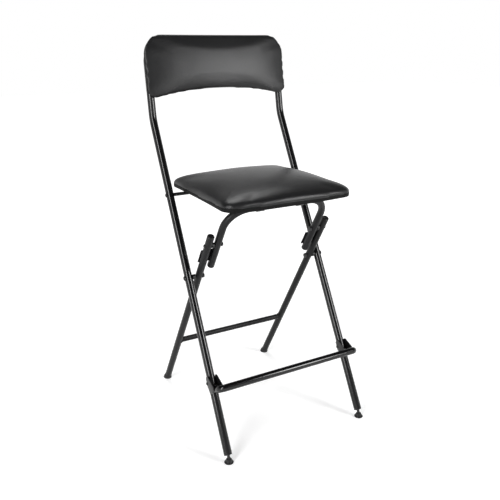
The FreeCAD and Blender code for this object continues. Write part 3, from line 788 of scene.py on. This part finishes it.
def hex_nut(base, axis, across_flats, height, bore):
    """Hexagonal nut with chamfered corners: the hexagon's radius, apothem over cosine, under a cone.

    The cone's rows are shares of the corner radius and of the height.
    """
    columns = 72
    cone = ((0.93, 0), (1.0, 0.09), (1.0, 0.91), (0.93, 1))
    angle = np.linspace(0, 2 * math.pi, columns, endpoint=False)
    flat = across_flats / 2 / np.cos((angle % (math.pi / 3)) - math.pi / 6)
    corner = across_flats / math.sqrt(3)
    rows = [(np.minimum(flat, corner * inset), level * height) for inset, level in cone]
    rows += [(np.full(columns, bore / 2), height), (np.full(columns, bore / 2), 0.0)]
    side = np.cross(axis, UP)
    spokes = np.cos(angle)[:, None] * UP + np.sin(angle)[:, None] * side
    points = np.array([base + radius[:, None] * spokes + level * axis for radius, level in rows])
    return Grid(points, wrap_rows=True)


def collar(start, end, point, outer, bore):
    """Round spacer along X with softened ends and a bore."""
    length = abs(end - start)
    soft = 0.5 * MM
    ring = [(bore / 2, 0), (outer / 2 - soft, 0), (outer / 2, soft), (outer / 2, length - soft),
            (outer / 2 - soft, length), (bore / 2, length)]
    grid = turned(ring, on_x(start, point), X_AXIS * np.sign(end - start))
    return grid._replace(wrap_rows=True)


def box_ends(node, side):
    """Inner and outer x of a paired node on one side, from the node's own points."""
    mesh = frame["nodes"][node].data
    points = np.empty(len(mesh.vertices) * 3)
    mesh.vertices.foreach_get("co", points)
    across = np.abs(points[::3][points[::3] * side > 0])
    return side * float(across.min()), side * float(across.max())


class STOOL_OT_pivots(bpy.types.Operator):
    """Build the bolts, nuts and spacers of the crossing, knee and seat pivots"""

    bl_idname = "stool.pivots"
    bl_label = "Pivots"

    def execute(self, context):
        made = finishes()
        steel = made["black_steel_strip"]
        plastic = made["moulded_black_polyethylene"]
        # Each row's lengths: head radius, head height, shank radius
        bolts = (("frame_pivot_bolts", "crossing_bolts", "frame", CROSS, 7.0 * MM, 4.0 * MM, 4.0 * MM),
                 ("knee_bolts", "knee_rivets", "rear_legs", KNEE, 6.0 * MM, 3.0 * MM, 3.5 * MM),
                 ("seat_pivot_bolts", "seat_rod_bolts", "frame", SEAT_PIVOT, 6.0 * MM, 3.2 * MM, 3.0 * MM))
        for node, name, body, point, head_r, head_h, shank_r in bolts:
            grids = [self.bolt(node, point, side, head_r, head_h, shank_r) for side in SIDES]
            finish_piece(make_piece(name, grids), body, "black_steel", steel, node)
        # Each row's lengths: across flats, bore
        nuts = (("frame_pivot_nuts", "crossing_nuts", "rear_legs", CROSS, 13.0 * MM, 8.2 * MM),
                ("knee_nuts", "knee_nuts_hex", "seat_link", KNEE, 12.0 * MM, 7.2 * MM))
        for node, name, body, point, flats, bore in nuts:
            grids = []
            for side in SIDES:
                inner, outer = box_ends(node, side)
                grids.append(hex_nut(on_x(outer, point), -X_AXIS * side, flats, abs(outer - inner), bore))
            finish_piece(make_piece(name, grids), body, "black_steel", steel, node)
        # Each row's lengths: outer diameter, bore
        collars = (("frame_pivot_spacers", "crossing_spacers", "frame", CROSS, 14 * MM, 8.2 * MM),
                   ("knee_spacers", "knee_collars", "rear_legs", KNEE, 14 * MM, 7.2 * MM))
        for node, name, body, point, outer, bore in collars:
            grids = [collar(*box_ends(node, side), point, outer, bore) for side in SIDES]
            finish_piece(make_piece(name, grids), body, "black_plastic", plastic, node)
        return {"FINISHED"}

    def bolt(self, node, point, side, head_r, head_h, shank_r):
        """Domed bolt along X on one side, as long as its node, with a lead at the shank's end."""
        inner, outer = box_ends(node, side)
        length = abs(outer - inner) - head_h
        lead, lead_length = 0.5 * MM, 0.6 * MM
        shank = [(0, -length), (shank_r - lead, -length), (shank_r, lead_length - length), (shank_r, 0)]
        profile = np.concatenate([shank, head_profile(head_r, head_h, 0)[2:]])
        return turned(profile, on_x(outer - side * head_h, point), X_AXIS * side)


# Ends and feet
class STOOL_OT_ends(bpy.types.Operator):
    """Build the tube caps, the front glides and the rear rubber feet"""

    bl_idname = "stool.ends"
    bl_label = "Caps and feet"

    def execute(self, context):
        sizes = context.scene.stool_frame
        made = finishes()
        plastic = made["moulded_black_polyethylene"]
        radius = sizes.leg_tube / 2
        rise = radius * abs(REAR_UP[1])
        rim, shoulder, dome = 1.1 * MM, 2.3 * MM, 1.3 * MM
        edge = rounded([(0, 0), (radius, 0), (radius, rim), (radius - dome, shoulder)], 0.5 * MM)
        crown = dome_profile(radius - dome, dome) + (0, shoulder)
        profile = np.concatenate([edge, crown[1:]]) + (0, CLOSE_GAP)
        leg_top = float(LEG_HIGH[2]) - rise
        link_foot = float(LINK_LOW[2]) + rise
        caps = (("rear_leg_caps", "rear_leg_end_caps", "rear_legs", REAR_UP, leg_top),
                ("link_caps", "seat_link_end_caps", "seat_link", -REAR_UP, link_foot))
        for node, name, body, way, height in caps:
            half = float(corners(node)[1][0]) - radius
            end = on_line(KNEE, REAR_UP, height)
            grids = [turned(profile, on_x(side * half, end), way) for side in SIDES]
            finish_piece(make_piece(name, grids), body, "black_plastic", plastic, node)
        self.glides(sizes, made)
        self.rubber_feet(sizes, made)
        return {"FINISHED"}

    def glides(self, sizes, made):
        """Flanged plugs, studs and bell glides under the front legs."""
        half = float(FRAME_HIGH[0]) - sizes.frame_tube / 2
        radius = sizes.frame_tube / 2
        foot = on_line(SEAT_PIVOT, FRONT_UP, sizes.frame_end)
        plastic = made["moulded_black_polyethylene"]
        thick, ease = 2.5 * MM, 0.6 * MM
        flange = [(0, -thick), (radius - ease, -thick), (radius, ease - thick), (radius, 0), (0, 0)]
        flange = rounded(flange, 0.4 * MM)
        grids = [turned(flange, on_x(side * half, foot), FRONT_UP) for side in SIDES]
        plugs = make_piece("front_leg_inserts", grids)
        finish_piece(plugs, "frame", "black_plastic", plastic, "front_leg_plugs")
        stud_r, stud_foot = 4 * MM, 6 * MM
        low = on_line(SEAT_PIVOT, FRONT_UP, stud_foot)
        reach = np.linalg.norm(foot - low)
        stud = [(0, 0), (stud_r, 0), (stud_r, reach), (0, reach)]
        grids = [turned(stud, on_x(side * half, low), FRONT_UP) for side in SIDES]
        necks = make_piece("glide_necks", grids)
        finish_piece(necks, "frame", "zinc_steel", made["black_steel_strip"], "glide_studs")
        centre = (GLIDE_LOW + GLIDE_HIGH) / 2
        bell = np.array([(0, 0), (11.6, 0), (12.5, 0.8), (12.5, 2.6), (11.4, 3.4), (9.6, 4.4), (8.6, 6.0),
                         (8.2, 8.2), (7.6, 10.4), (6.2, 11.9), (4.2, 12.5), (0, 12.5)]) * MM
        bell[:, 1] *= float(GLIDE_HIGH[2]) / bell[-1, 1]
        profile = rounded(bell, 0.8 * MM, 4)
        grids = [turned(profile, on_x(side * half, (0, centre[1], 0)), UP) for side in SIDES]
        finish_piece(make_piece("front_glides", grids), "frame", "black_plastic", plastic, "glide_bases")

    def rubber_feet(self, sizes, made):
        """Rubber cups on the rear legs: turned about the leg, and slid up it where they pass the floor.

        The turned profile reaches past the floor, so that the sole closes flat on it.
        """
        half = float(LEG_LOW[0] + LEG_HIGH[0]) / 2
        radius = sizes.leg_tube / 2
        sole = float(corners("rear_feet")[1][0]) - half
        past = 24 * MM
        end = on_line(KNEE, REAR_UP, float(LEG_LOW[2]) + radius * abs(REAR_UP[1]))
        coarse = rounded([(0, -past), (sole, -past), (sole, -radius), (sole - 1.2 * MM, 3 * MM - radius),
                          (radius + 0.9 * MM, -1.5 * MM), (radius + 0.3 * MM, -0.2 * MM), (0, -0.1 * MM)],
                         0.9 * MM)
        steps = np.linspace(0, 1, len(coarse))
        fine = np.linspace(0, 1, 90)
        profile = np.stack([np.interp(fine, steps, column) for column in coarse.T], -1)
        grids = []
        for side in SIDES:
            points = turned(profile, on_x(side * half, end), REAR_UP).points
            slide = np.maximum(-points[..., 2], 0) / REAR_UP[2]
            grids.append(Grid(points + slide[..., None] * REAR_UP))
        feet = make_piece("rear_rubber_feet", grids, 50.0)
        finish_piece(feet, "rear_legs", "black_rubber", made["black_rubber"], "rear_feet")


# Seat hardware
class STOOL_OT_saddles(bpy.types.Operator):
    """Build the seat rod, the saddles that hold it and the link, and their screws"""

    bl_idname = "stool.saddles"
    bl_label = "Seat rod and saddles"

    def execute(self, context):
        made = finishes()
        rod_r = float(ROD_HIGH[2] - ROD_LOW[2]) / 2
        reach = float(ROD_HIGH[0])
        soft = 0.6 * MM
        width = 22 * MM
        thickness = 1.5 * MM
        flange = 15 * MM
        profile = [(0, -reach), (rod_r - soft, -reach), (rod_r, soft - reach), (rod_r, reach - soft),
                   (rod_r - soft, reach), (0, reach)]
        rod = make_piece("seat_cross_rod", [turned(profile, on_x(0, SEAT_PIVOT), X_AXIS)])
        finish_piece(rod, "seat", "zinc_steel", made["satin_black_powder_coat"], "seat_rod")
        link_r = bpy.context.scene.stool_frame.leg_tube / 2
        pairs = (("rear_saddles", "rear_saddle_straps", SEAT_PIVOT, rod_r + CLOSE_GAP),
                 ("front_saddles", "front_saddle_straps", LINK_PIVOT, link_r + BODY_GAP))
        screws = []
        for node, name, pivot, inner in pairs:
            high = corners(node)[1]
            top = float(high[2])
            x_place = float(high[0]) - width / 2
            grids = []
            for side in SIDES:
                grids.append(self.saddle(side * x_place, pivot, inner, top, (width, thickness, flange)))
                for way in (-1, 1):
                    along = pivot[1] + way * (inner + thickness + flange / 2)
                    under = top - thickness - 2 * CLOSE_GAP
                    screws.append(self.pan_head(np.array((side * x_place, along, under))))
            straps = make_piece(name, grids)
            finish_piece(straps, "seat", "black_steel", made["black_steel_strip"], node)
        heads = make_piece("saddle_screw_heads", screws)
        finish_piece(heads, "seat", "zinc_steel", made["zinc_plated_steel"], "saddle_screws")
        return {"FINISHED"}

    def saddle(self, x, pivot, inner, top, sizes):
        """Strap bent in an omega round a bar: flange, wall, half circle, wall, flange."""
        width, thickness, flange = sizes
        middle = inner + thickness / 2
        level = top - thickness / 2
        far = inner + thickness + flange
        low = pivot[2] - middle
        bend = 1.6 * MM
        half_circle = middle * 0.999
        corners_yz = ((-far, level), (-middle, level), (-middle, low), (middle, low), (middle, level),
                      (far, level))
        points = np.array([(x, pivot[1] + y, z) for y, z in corners_yz])
        line = bent_line(points, [bend, half_circle, half_circle, bend], 12)
        return carried(line, slab_profile(width, thickness, 0.5 * MM), X_AXIS)

    def pan_head(self, base):
        """Screw head below a saddle: a shallow cap with a cross recess pressed into it.

        The cap's height is the root of 1 less a power of the share of the radius. The recess is a
        four-armed dip: deep where one of the two flat coordinates is small.
        """
        columns = 64
        radius = 4.0 * MM
        cap_radius, cap_height = 4.05 * MM, 2.2 * MM
        arm_width, arm_reach, recess_depth = 0.45 * MM, 2.4 * MM, 1.6 * MM
        radii = np.concatenate([np.linspace(0, 3.2, 13), np.linspace(3.4, 4.0, 5)])[:, None] * MM
        angle = np.linspace(0, 2 * math.pi, columns, endpoint=False)
        spokes = np.stack([np.cos(angle), np.sin(angle)], -1)
        flat = radii[..., None] * spokes
        height = cap_height * np.sqrt(np.clip(1 - (radii / cap_radius) ** 2.6, 0, 1))
        arm = np.abs(flat).min(-1)
        dip = np.clip(1 - arm / arm_width, 0, 1) * np.clip(1 - radii / arm_reach, 0, 1) * recess_depth
        points = base + np.concatenate([flat, (dip - height)[..., None]], -1)
        rim = base + np.concatenate([radius * spokes, np.zeros((columns, 1))], -1)
        return Grid(np.concatenate([points, rim[None]]))


# Pads
CORNER_GROWTH = 0.1  # widening of a pad's corner radius per metre that its outline is drawn in


def pad_outline(low, high, draw, inset, corner_count=14, side_count=40):
    """Closed outline of a pad drawn in by inset, as (across, along) points.

    Corners are quarter circles, and each side is a straight line pulled in by a parabola of the share
    along it. low and high each give an edge's place, half width, corner radius and how far its middle is
    pulled in, and draw says the same of the two sides.
    """
    low_at, low_half, low_r, low_draw = low
    high_at, high_half, high_r, high_draw = high
    low_at, high_at = low_at + inset, high_at - inset
    low_half, high_half = low_half - inset, high_half - inset
    corner_list = (((low_half - low_r, low_at + low_r), low_r, -90, (-draw, 0)),
                   ((high_half - high_r, high_at - high_r), high_r, 0, (0, -high_draw)),
                   ((high_r - high_half, high_at - high_r), high_r, 90, (draw, 0)),
                   ((low_r - low_half, low_at + low_r), low_r, 180, (0, low_draw)))
    share = np.linspace(0, 1, side_count + 2)[1:-1, None]
    arcs = []
    for centre, radius, first, _ in corner_list:
        angle = np.radians(first + np.linspace(0, 90, corner_count))
        arcs.append(np.array(centre) + radius * np.stack([np.cos(angle), np.sin(angle)], -1))
    parts = []
    for number, arc in enumerate(arcs):
        start = arc[-1]
        end = arcs[(number + 1) % 4][0]
        pull = np.array(corner_list[number][3])
        parts += [arc, start + (end - start) * share + pull * 4 * share * (1 - share)]
    return np.concatenate(parts)


def pad_shell(name, outline, side, crown, power, root, place):
    """Closed pad: a tucked lower edge, an upright side, then a dome.

    Over the dome the outline shrinks to its middle by a share s and turns into an ellipse as s ** 3
    falls. The height above the side is crown times (1 - s ** power) ** (1 / root). place turns
    (across, along, height) into the frame.
    """
    middle = (outline.min(0) + outline.max(0)) / 2
    half = (outline.max(0) - outline.min(0)) / 2
    spokes = outline - middle
    oval = spokes / np.linalg.norm(spokes / half, axis=1, keepdims=True)
    share = np.sin(np.linspace(math.pi / 2, 0, 30))
    dome = np.stack([share, side + crown * (1 - share ** power) ** (1 / root)], -1)
    edge = [(0.0, 0.3 * MM), (0.5, 0.3 * MM), (0.9, 0.3 * MM), (0.97, 0.3 * MM), (0.985, side * 0.3)]
    rings = []
    for share, height in (*edge, *dome):
        ring = middle + (spokes * share ** 3 + oval * (1 - share ** 3)) * share
        rings.append(place(ring[:, 0], ring[:, 1], np.full(len(ring), height)))
    return make_piece(name, [Grid(np.array(rings))], 80.0)


def evened(pad, times):
    """Moves each point towards the middle of its neighbours, which takes the voxels' steps out."""
    smooth = pad.modifiers.new("even", "SMOOTH")
    smooth.factor = 0.5
    smooth.iterations = times
    bpy.ops.object.modifier_apply(modifier=smooth.name)


def puffed(pad, up, anchor, hold, cap):
    """Inflates a pad as cloth over foam: voxel remesh, pressure, no gravity, and a cap on each move.

    Points lower than hold along up from anchor are pinned, as the cover is stapled to the board there.
    """
    sizes = bpy.context.scene.stool_pads
    pressure = 3.0
    stiffness = 30
    bpy.context.view_layer.objects.active = pad
    remesh = pad.modifiers.new("voxels", "REMESH")
    remesh.mode = "VOXEL"
    remesh.voxel_size = sizes.voxel
    bpy.ops.object.modifier_apply(modifier=remesh.name)
    evened(pad, 12)
    count = len(pad.data.vertices)
    rest = np.empty(count * 3)
    pad.data.vertices.foreach_get("co", rest)
    rest = rest.reshape(-1, 3)
    height = (rest - anchor) @ up
    pins = pad.vertex_groups.new(name="stapled")
    pins.add(np.nonzero(height < hold)[0].tolist(), 1.0, "REPLACE")
    cloth = pad.modifiers.new("cover", "CLOTH")
    cloth.settings.vertex_group_mass = pins.name
    cloth.settings.use_pressure = True
    cloth.settings.uniform_pressure_force = pressure
    cloth.settings.effector_weights.gravity = 0
    cloth.settings.quality = 5
    cloth.settings.tension_stiffness = stiffness
    cloth.settings.compression_stiffness = stiffness
    cloth.settings.bending_stiffness = stiffness
    cloth.collision_settings.use_self_collision = False
    scene = bpy.context.scene
    cloth.point_cache.frame_end = sizes.frames
    for number in range(1, sizes.frames + 1):
        scene.frame_set(number)
    shown = pad.evaluated_get(bpy.context.evaluated_depsgraph_get()).to_mesh()
    swollen = np.empty(count * 3)
    shown.vertices.foreach_get("co", swollen)
    moved = swollen.reshape(-1, 3) - rest
    pad.modifiers.remove(cloth)
    pad.vertex_groups.clear()
    scene.frame_set(1)
    length = np.linalg.norm(moved, axis=-1, keepdims=True)
    moved *= np.minimum(1, cap / np.maximum(length, 1e-9))
    pad.data.vertices.foreach_set("co", (rest + moved).ravel())
    pad.data.update()
    evened(pad, 8)
    finer = pad.modifiers.new("finer", "SUBSURF")
    finer.levels = 1
    finer.render_levels = 1
    bpy.ops.object.modifier_apply(modifier=finer.name)
    pad.data.shade_smooth()
    return pad


def seat_form(inset):
    """Seat's outline in plan, drawn in by inset. The corners widen by a share of it."""
    sizes = bpy.context.scene.stool_pads
    growth = CORNER_GROWTH * inset
    draw = 3 * MM
    front = (float(SEAT_LOW[1]) + sizes.seat_bow, float(SEAT_HIGH[0]), sizes.seat_front_corner + growth,
             -sizes.seat_bow)
    rear = (float(SEAT_HIGH[1]), sizes.seat_rear_width / 2, sizes.seat_rear_corner + growth, draw)
    return pad_outline(front, rear, draw, inset)


def seat_place(across, along, height):
    """Seat's points from plan and height above the underside of its board."""
    return np.stack([across, along, float(SEAT_LOW[2]) + height], -1)


class STOOL_OT_seat(bpy.types.Operator):
    """Build the padded seat, the bead along its edge, its board and the stapled hem"""

    bl_idname = "stool.seat"
    bl_label = "Seat"

    def execute(self, context):
        sizes = context.scene.stool_pads
        made = finishes()
        vinyl = made["embossed_vinyl"]
        # The pad starts wider, because the smoothing draws its edges in, and its crown is fuller
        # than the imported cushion's
        spare, fuller = 2.0 * MM, 3.5 * MM
        crown = float(SEAT_HIGH[2] - SEAT_LOW[2]) - sizes.seat_side + fuller
        pad = pad_shell("seat_pad", seat_form(-spare), sizes.seat_side, crown, 2.5, 2.3, seat_place)
        puffed(pad, UP, SEAT_LOW, sizes.seat_side, 3 * MM)
        finish_piece(pad, "seat", "black_vinyl", vinyl, "seat_cushion")
        # Rows of (inset, height) in millimetres round the band's section
        rows = ((1.6, 0.3), (0.9, 0.1), (0.3, 0.9), (0.0, 6.0), (0.0, 10.4), (0.5, 11.0), (1.6, 11.0))
        rings = [ring_at(seat_form(inset * MM), height * MM, seat_place) for inset, height in rows]
        band = make_piece("seat_side_band", [Grid(np.array(rings), wrap_rows=True)], 60.0)
        # The band is the cover's vinyl over the board's edge, in the darker copy: painted shade on the
        # seat's side
        finish_piece(band, "seat", "black_vinyl", made["matt_vinyl_edge"])
        bead = pad_outline_line(seat_form, 0.9 * MM, sizes.seat_side + 0.5 * MM, seat_place)
        piece = make_piece("seat_edge_bead", [carried(bead, circle(1.2 * MM, 16), UP, wrap=True)])
        finish_piece(piece, "seat", "black_vinyl", vinyl)
        thickness = float(BOARD_HIGH[2] - BOARD_LOW[2])
        board = board_slab("seat_plywood", seat_form, 4 * MM, thickness, seat_place)
        finish_piece(board, "seat", "plywood", made["black_painted_plywood"], "seat_board")
        hem = hem_band("seat_hem", seat_form, 2.6 * MM, 24 * MM, seat_place)
        finish_piece(hem, "seat", "black_vinyl", vinyl)
        # Folded, the link's stop plates lie against the board here, so no staple is driven
        stops = (120 * MM, 12 * MM, 88 * MM)
        clips = staples("seat_staples", seat_form, 15 * MM, 26 * MM, seat_place, stops)
        finish_piece(clips, "seat", "zinc_steel", made["zinc_plated_steel"])
        return {"FINISHED"}


def ring_at(outline, height, place):
    """Outline's points at one height."""
    return place(outline[:, 0], outline[:, 1], np.full(len(outline), height))


def pad_outline_line(form, inset, height, place):
    """Outline at one inset and height as a line of stations, evenly spaced along its length."""
    outline = form(inset)
    closed = np.concatenate([outline, outline[:1]])
    length = np.concatenate([[0], np.cumsum(np.linalg.norm(np.diff(closed, axis=0), axis=1))])
    even = np.linspace(0, length[-1], 400, endpoint=False)
    return ring_at(np.stack([np.interp(even, length, column) for column in closed.T], -1), height, place)


def board_slab(name, form, inset, thickness, place):
    """Flat board inside an outline, with its lower and upper edges eased."""
    ease = 0.8 * MM
    rows = ((ease, 0), (0, ease), (0, thickness - ease), (ease, thickness))
    rings = [ring_at(form(inset + grow), height, place) for grow, height in rows]
    return make_piece(name, [Grid(np.array(rings))])


def hem_band(name, form, start, width, place):
    """Cover turned under a board: a thin band, thinnest at its two edges, with small gathers.

    Its free edge wanders by two sines along the outline, and the gathers are a sine that grows with the
    share across the band.
    """
    outlines = [form(start + width * share) for share in np.linspace(0, 1, 7)]
    count = len(outlines[0])
    turn = np.linspace(0, 2 * math.pi, count, endpoint=False)
    wander = 1.2 * MM * (np.sin(13 * turn) + 0.6 * np.sin(29 * turn + 1))
    sunk = 0.1 * MM
    under = []
    over = []
    for number, outline in enumerate(outlines):
        share = number / (len(outlines) - 1)
        middle = outline.mean(0)
        inward = unit_rows(middle - outline)
        ring = outline + inward * (wander * share)[:, None]
        pucker = 0.06 * MM * (1 + np.sin(41 * turn)) * share
        depth = 0.3 * MM if 0 < number < len(outlines) - 1 else 0.15 * MM
        under.append(place(ring[:, 0], ring[:, 1], -(depth + pucker)))
        over.append(ring_at(ring, sunk, place))
    return make_piece(name, [Grid(np.array(under + over[::-1]), wrap_rows=True)], 80.0)


def staples(name, form, inset, gap, place, keep_out=None):
    """Staple crowns along the hem, each a short slanted bar, placed by the outline's length.

    keep_out holds the least x away from the middle and the y range where none is driven.
    """
    level = -0.55 * MM
    half_length = 5 * MM
    bar = slab_profile(0.9 * MM, 0.6 * MM, 0.2 * MM, 2)
    line = pad_outline_line(form, inset, level, place)
    length = np.linalg.norm(np.roll(line, -1, 0) - line, axis=1).sum()
    count = int(length / gap)
    picks = np.linspace(0, len(line), count, endpoint=False).astype(int)
    if keep_out is not None:
        far, low, high = keep_out
        near = line[picks]
        picks = picks[(np.abs(near[:, 0]) < far) | (near[:, 1] < low) | (near[:, 1] > high)]
    centre = line.mean(0)
    grids = []
    for pick in picks:
        along = unit(line[(pick + 1) % len(line)] - line[pick - 1])
        inward = unit((centre - line[pick]) - along * ((centre - line[pick]) @ along))
        half = unit(along + inward) * half_length
        points = np.array([line[pick] - half, line[pick] + half])
        grids.append(carried(points, bar, np.cross(along, inward)))
    return make_piece(name, grids)


def back_form(inset):
    """Backrest's outline on its leaning plane, drawn in by inset. The corners widen by a share of it."""
    sizes = bpy.context.scene.stool_pads
    half = float(corners("backrest_cushion")[1][0])
    growth = CORNER_GROWTH * inset
    draw = 2 * MM
    low = (sizes.back_low, half, sizes.back_low_corner + growth, sizes.back_arch)
    high = (sizes.back_high, half, sizes.back_top_corner + growth, draw)
    return pad_outline(low, high, draw, inset)


def back_place(across, along, height):
    """Backrest's points: along the back from the bend, and out from the front of the tubes."""
    board_gap = 0.2 * MM
    bend, _, back_up, back_out = frame_places()
    origin = bend + back_out * (bpy.context.scene.stool_frame.frame_tube / 2 + board_gap)
    return origin + across[:, None] * X_AXIS + along[:, None] * back_up + height[:, None] * back_out


class STOOL_OT_backrest(bpy.types.Operator):
    """Build the padded backrest, its board, the stapled hem and the screws behind it"""

    bl_idname = "stool.backrest"
    bl_label = "Backrest"

    def execute(self, context):
        sizes = context.scene.stool_pads
        made = finishes()
        vinyl = made["embossed_vinyl"]
        # The pad starts wider, because the smoothing draws its edges in, and lower, because the
        # inflation raises it
        spare, shortfall = 2.2 * MM, 0.5 * MM
        back_out = frame_places()[3]
        crown = sizes.back_crown - shortfall
        pad = pad_shell("backrest_pad", back_form(-spare), sizes.back_side, crown, 2.3, 1.5, back_place)
        anchor = back_place(np.zeros(1), np.zeros(1), np.zeros(1))[0]
        puffed(pad, back_out, anchor, sizes.back_side * 0.8, 2 * MM)
        finish_piece(pad, "frame", "black_vinyl", vinyl, "backrest_cushion")
        board = board_slab("backrest_plywood", back_form, 4 * MM, 7 * MM, back_place)
        finish_piece(board, "frame", "plywood", made["black_painted_plywood"], "backrest_board")
        hem = hem_band("backrest_hem", back_form, 2.6 * MM, 20 * MM, back_hem_place)
        finish_piece(hem, "frame", "black_vinyl", vinyl)
        clips = staples("backrest_staples", back_form, 13 * MM, 26 * MM, back_hem_place)
        finish_piece(clips, "frame", "zinc_steel", made["zinc_plated_steel"])
        self.screws(made)
        return {"FINISHED"}

    def screws(self, made):
        """Domed screw heads behind the back frame's tubes."""
        sizes = bpy.context.scene.stool_frame
        bend, _, back_up, back_out = frame_places()
        half = float(FRAME_HIGH[0]) - sizes.frame_tube / 2
        sunk = 0.6 * MM
        behind = back_out * (sizes.frame_tube / 2 - sunk)
        profile = head_profile(5 * MM, 3 * MM, 2 * MM)
        heads = [turned(profile, on_x(side * half, bend + back_up * along) - behind, -back_out)
                 for along in (92 * MM, 160 * MM) for side in SIDES]
        piece = make_piece("backrest_screw_heads", heads)
        finish_piece(piece, "frame", "zinc_steel", made["zinc_plated_steel"], "backrest_screws")


def back_hem_place(across, along, height):
    """Backrest's points for the hem, flattened where the tubes press on it."""
    least, lift = -0.15 * MM, 0.1 * MM
    return back_place(across, along, np.maximum(height, least) + lift)


# Stage
def shown_rays(tree):
    """1 for rays that show the background itself: camera, glossy and transmission rays."""
    path = add_node(tree, "ShaderNodeLightPath")
    direct = add_node(tree, "ShaderNodeMath", {"operation": "MAXIMUM"},
                      links={0: path.outputs["Is Camera Ray"], 1: path.outputs["Is Glossy Ray"]})
    return add_node(tree, "ShaderNodeMath", {"operation": "MAXIMUM"},
                    links={0: direct.outputs[0], 1: path.outputs["Is Transmission Ray"]}).outputs[0]


class STOOL_OT_stage(bpy.types.Operator):
    """Set up the pale floor, the lamps and the camera"""

    bl_idname = "stool.stage"
    bl_label = "Stage"

    def execute(self, context):
        scene = context.scene
        stage = scene.stool_stage
        scene.view_settings.view_transform = "Standard"
        camera = bpy.data.objects.new("camera", bpy.data.cameras.new("camera"))
        scene.collection.objects.link(camera)
        camera.location = stage.place
        camera.rotation_euler = Euler((math.pi / 2 - stage.pitch, 0, -stage.yaw))
        camera.data.lens = stage.lens
        camera.data.sensor_width = 36
        camera.data.shift_x, camera.data.shift_y = stage.shift
        scene.camera = camera
        self.floor()
        self.world(stage.ceiling)
        middle = (0, 0, 0.6)
        self.lamp("left", (-2.1, -1.1, 1.5), middle, (0.45, 2.4), stage.left_power)
        self.lamp("right", (1.3, -1.95, 1.5), (0, 0, 0.8), (0.6, 1.0), stage.right_power)
        self.lamp("top", (0.3, 0.9, 2.7), middle, (1.3, 1.0), stage.top_power)
        return {"FINISHED"}

    def lamp(self, name, place, target, size, power):
        """Soft box of a width and height that faces a target."""
        data = bpy.data.lights.new(name, "AREA")
        data.shape = "RECTANGLE"
        data.size, data.size_y = size
        data.energy = power
        lamp = bpy.data.objects.new(name, data)
        bpy.context.scene.collection.objects.link(lamp)
        lamp.location = place
        lamp.rotation_euler = (Vector(target) - Vector(place)).to_track_quat("-Z", "Y").to_euler()

    def floor(self):
        """Wide pale floor: its own colour under the lamps, lifted to white where the lamps fade.

        The lift grows with the distance from the stool, so that the stool's own shadow stays.
        """
        half = 12.0
        level = -0.4 * MM
        points = np.array([[(-half, -half, level), (half, -half, level)],
                           [(-half, half, level), (half, half, level)]])
        floor = make_piece("floor", [Grid(points, wrap_columns=False, caps=False)])
        material = bpy.data.materials.new("pale_studio_floor")
        material.use_nodes = True
        tree = material.node_tree
        tree.nodes.clear()
        diffuse = add_node(tree, "ShaderNodeBsdfDiffuse", inputs={"Color": grey(0.8)})
        place = add_node(tree, "ShaderNodeTexCoord").outputs["Object"]
        away = add_node(tree, "ShaderNodeVectorMath", {"operation": "LENGTH"},
                        links={0: place}).outputs["Value"]
        far = add_node(tree, "ShaderNodeMapRange", {"interpolation_type": "SMOOTHSTEP"},
                       {"From Min": 0.3, "From Max": 2.6, "To Min": 0.4, "To Max": 1.0}, {"Value": away})
        lift = add_node(tree, "ShaderNodeMath", {"operation": "MULTIPLY"},
                        links={0: shown_rays(tree), 1: far.outputs["Result"]})
        glow = add_node(tree, "ShaderNodeEmission", inputs={"Color": grey(1.0)},
                        links={"Strength": lift.outputs[0]})
        both = add_node(tree, "ShaderNodeAddShader")
        tree.links.new(diffuse.outputs[0], both.inputs[0])
        tree.links.new(glow.outputs[0], both.inputs[1])
        output = add_node(tree, "ShaderNodeOutputMaterial")
        tree.links.new(both.outputs[0], output.inputs["Surface"])
        floor.data.materials.append(material)

    def world(self, strength):
        """White round the horizon, falling smoothly to a dim ceiling by the direction's height."""
        world = bpy.data.worlds.new("studio")
        bpy.context.scene.world = world
        world.use_nodes = True
        tree = world.node_tree
        tree.nodes.clear()
        way = add_node(tree, "ShaderNodeTexCoord").outputs["Generated"]
        height = add_node(tree, "ShaderNodeSeparateXYZ", links={"Vector": way}).outputs["Z"]
        fall = add_node(tree, "ShaderNodeMapRange", {"interpolation_type": "SMOOTHSTEP"},
                        {"From Min": 0.14, "From Max": 0.50, "To Min": 1.0, "To Max": strength},
                        {"Value": height}).outputs["Result"]
        light = add_node(tree, "ShaderNodeBackground", inputs={"Color": grey(1.0)},
                         links={"Strength": fall})
        output = add_node(tree, "ShaderNodeOutputWorld")
        tree.links.new(light.outputs[0], output.inputs["Surface"])


OPERATORS = (STOOL_OT_stage, STOOL_OT_back_frame, STOOL_OT_rear_frame, STOOL_OT_seat_link,
             STOOL_OT_footrest, STOOL_OT_pivots, STOOL_OT_ends, STOOL_OT_saddles, STOOL_OT_seat,
             STOOL_OT_backrest)
GROUPS = {"stool_frame": StoolFrameSizes, "stool_pads": StoolPadSizes, "stool_finish": StoolFinish,
          "stool_stage": StoolStage}


class STOOL_PT_panel(bpy.types.Panel):
    """Lists the stool's build steps"""

    bl_idname = "STOOL_PT_panel"
    bl_label = "Folding Bar Stool"
    bl_space_type = "VIEW_3D"
    bl_region_type = "UI"
    bl_category = "Bar Stool"

    def draw(self, context):
        column = self.layout.column()
        for operator in OPERATORS:
            column.operator(operator.bl_idname)


def register():
    for cls in (*GROUPS.values(), *OPERATORS, STOOL_PT_panel):
        bpy.utils.register_class(cls)
    for name, group in GROUPS.items():
        setattr(bpy.types.Scene, name, PointerProperty(type=group))


def unregister():
    for name in GROUPS:
        delattr(bpy.types.Scene, name)
    for cls in reversed((*GROUPS.values(), *OPERATORS, STOOL_PT_panel)):
        bpy.utils.unregister_class(cls)


def main():
    """Runs every build step in order."""
    register()
    for operator in OPERATORS:
        getattr(bpy.ops.stool, operator.bl_idname.split(".")[1])()


if __name__ == "__main__":
    main()
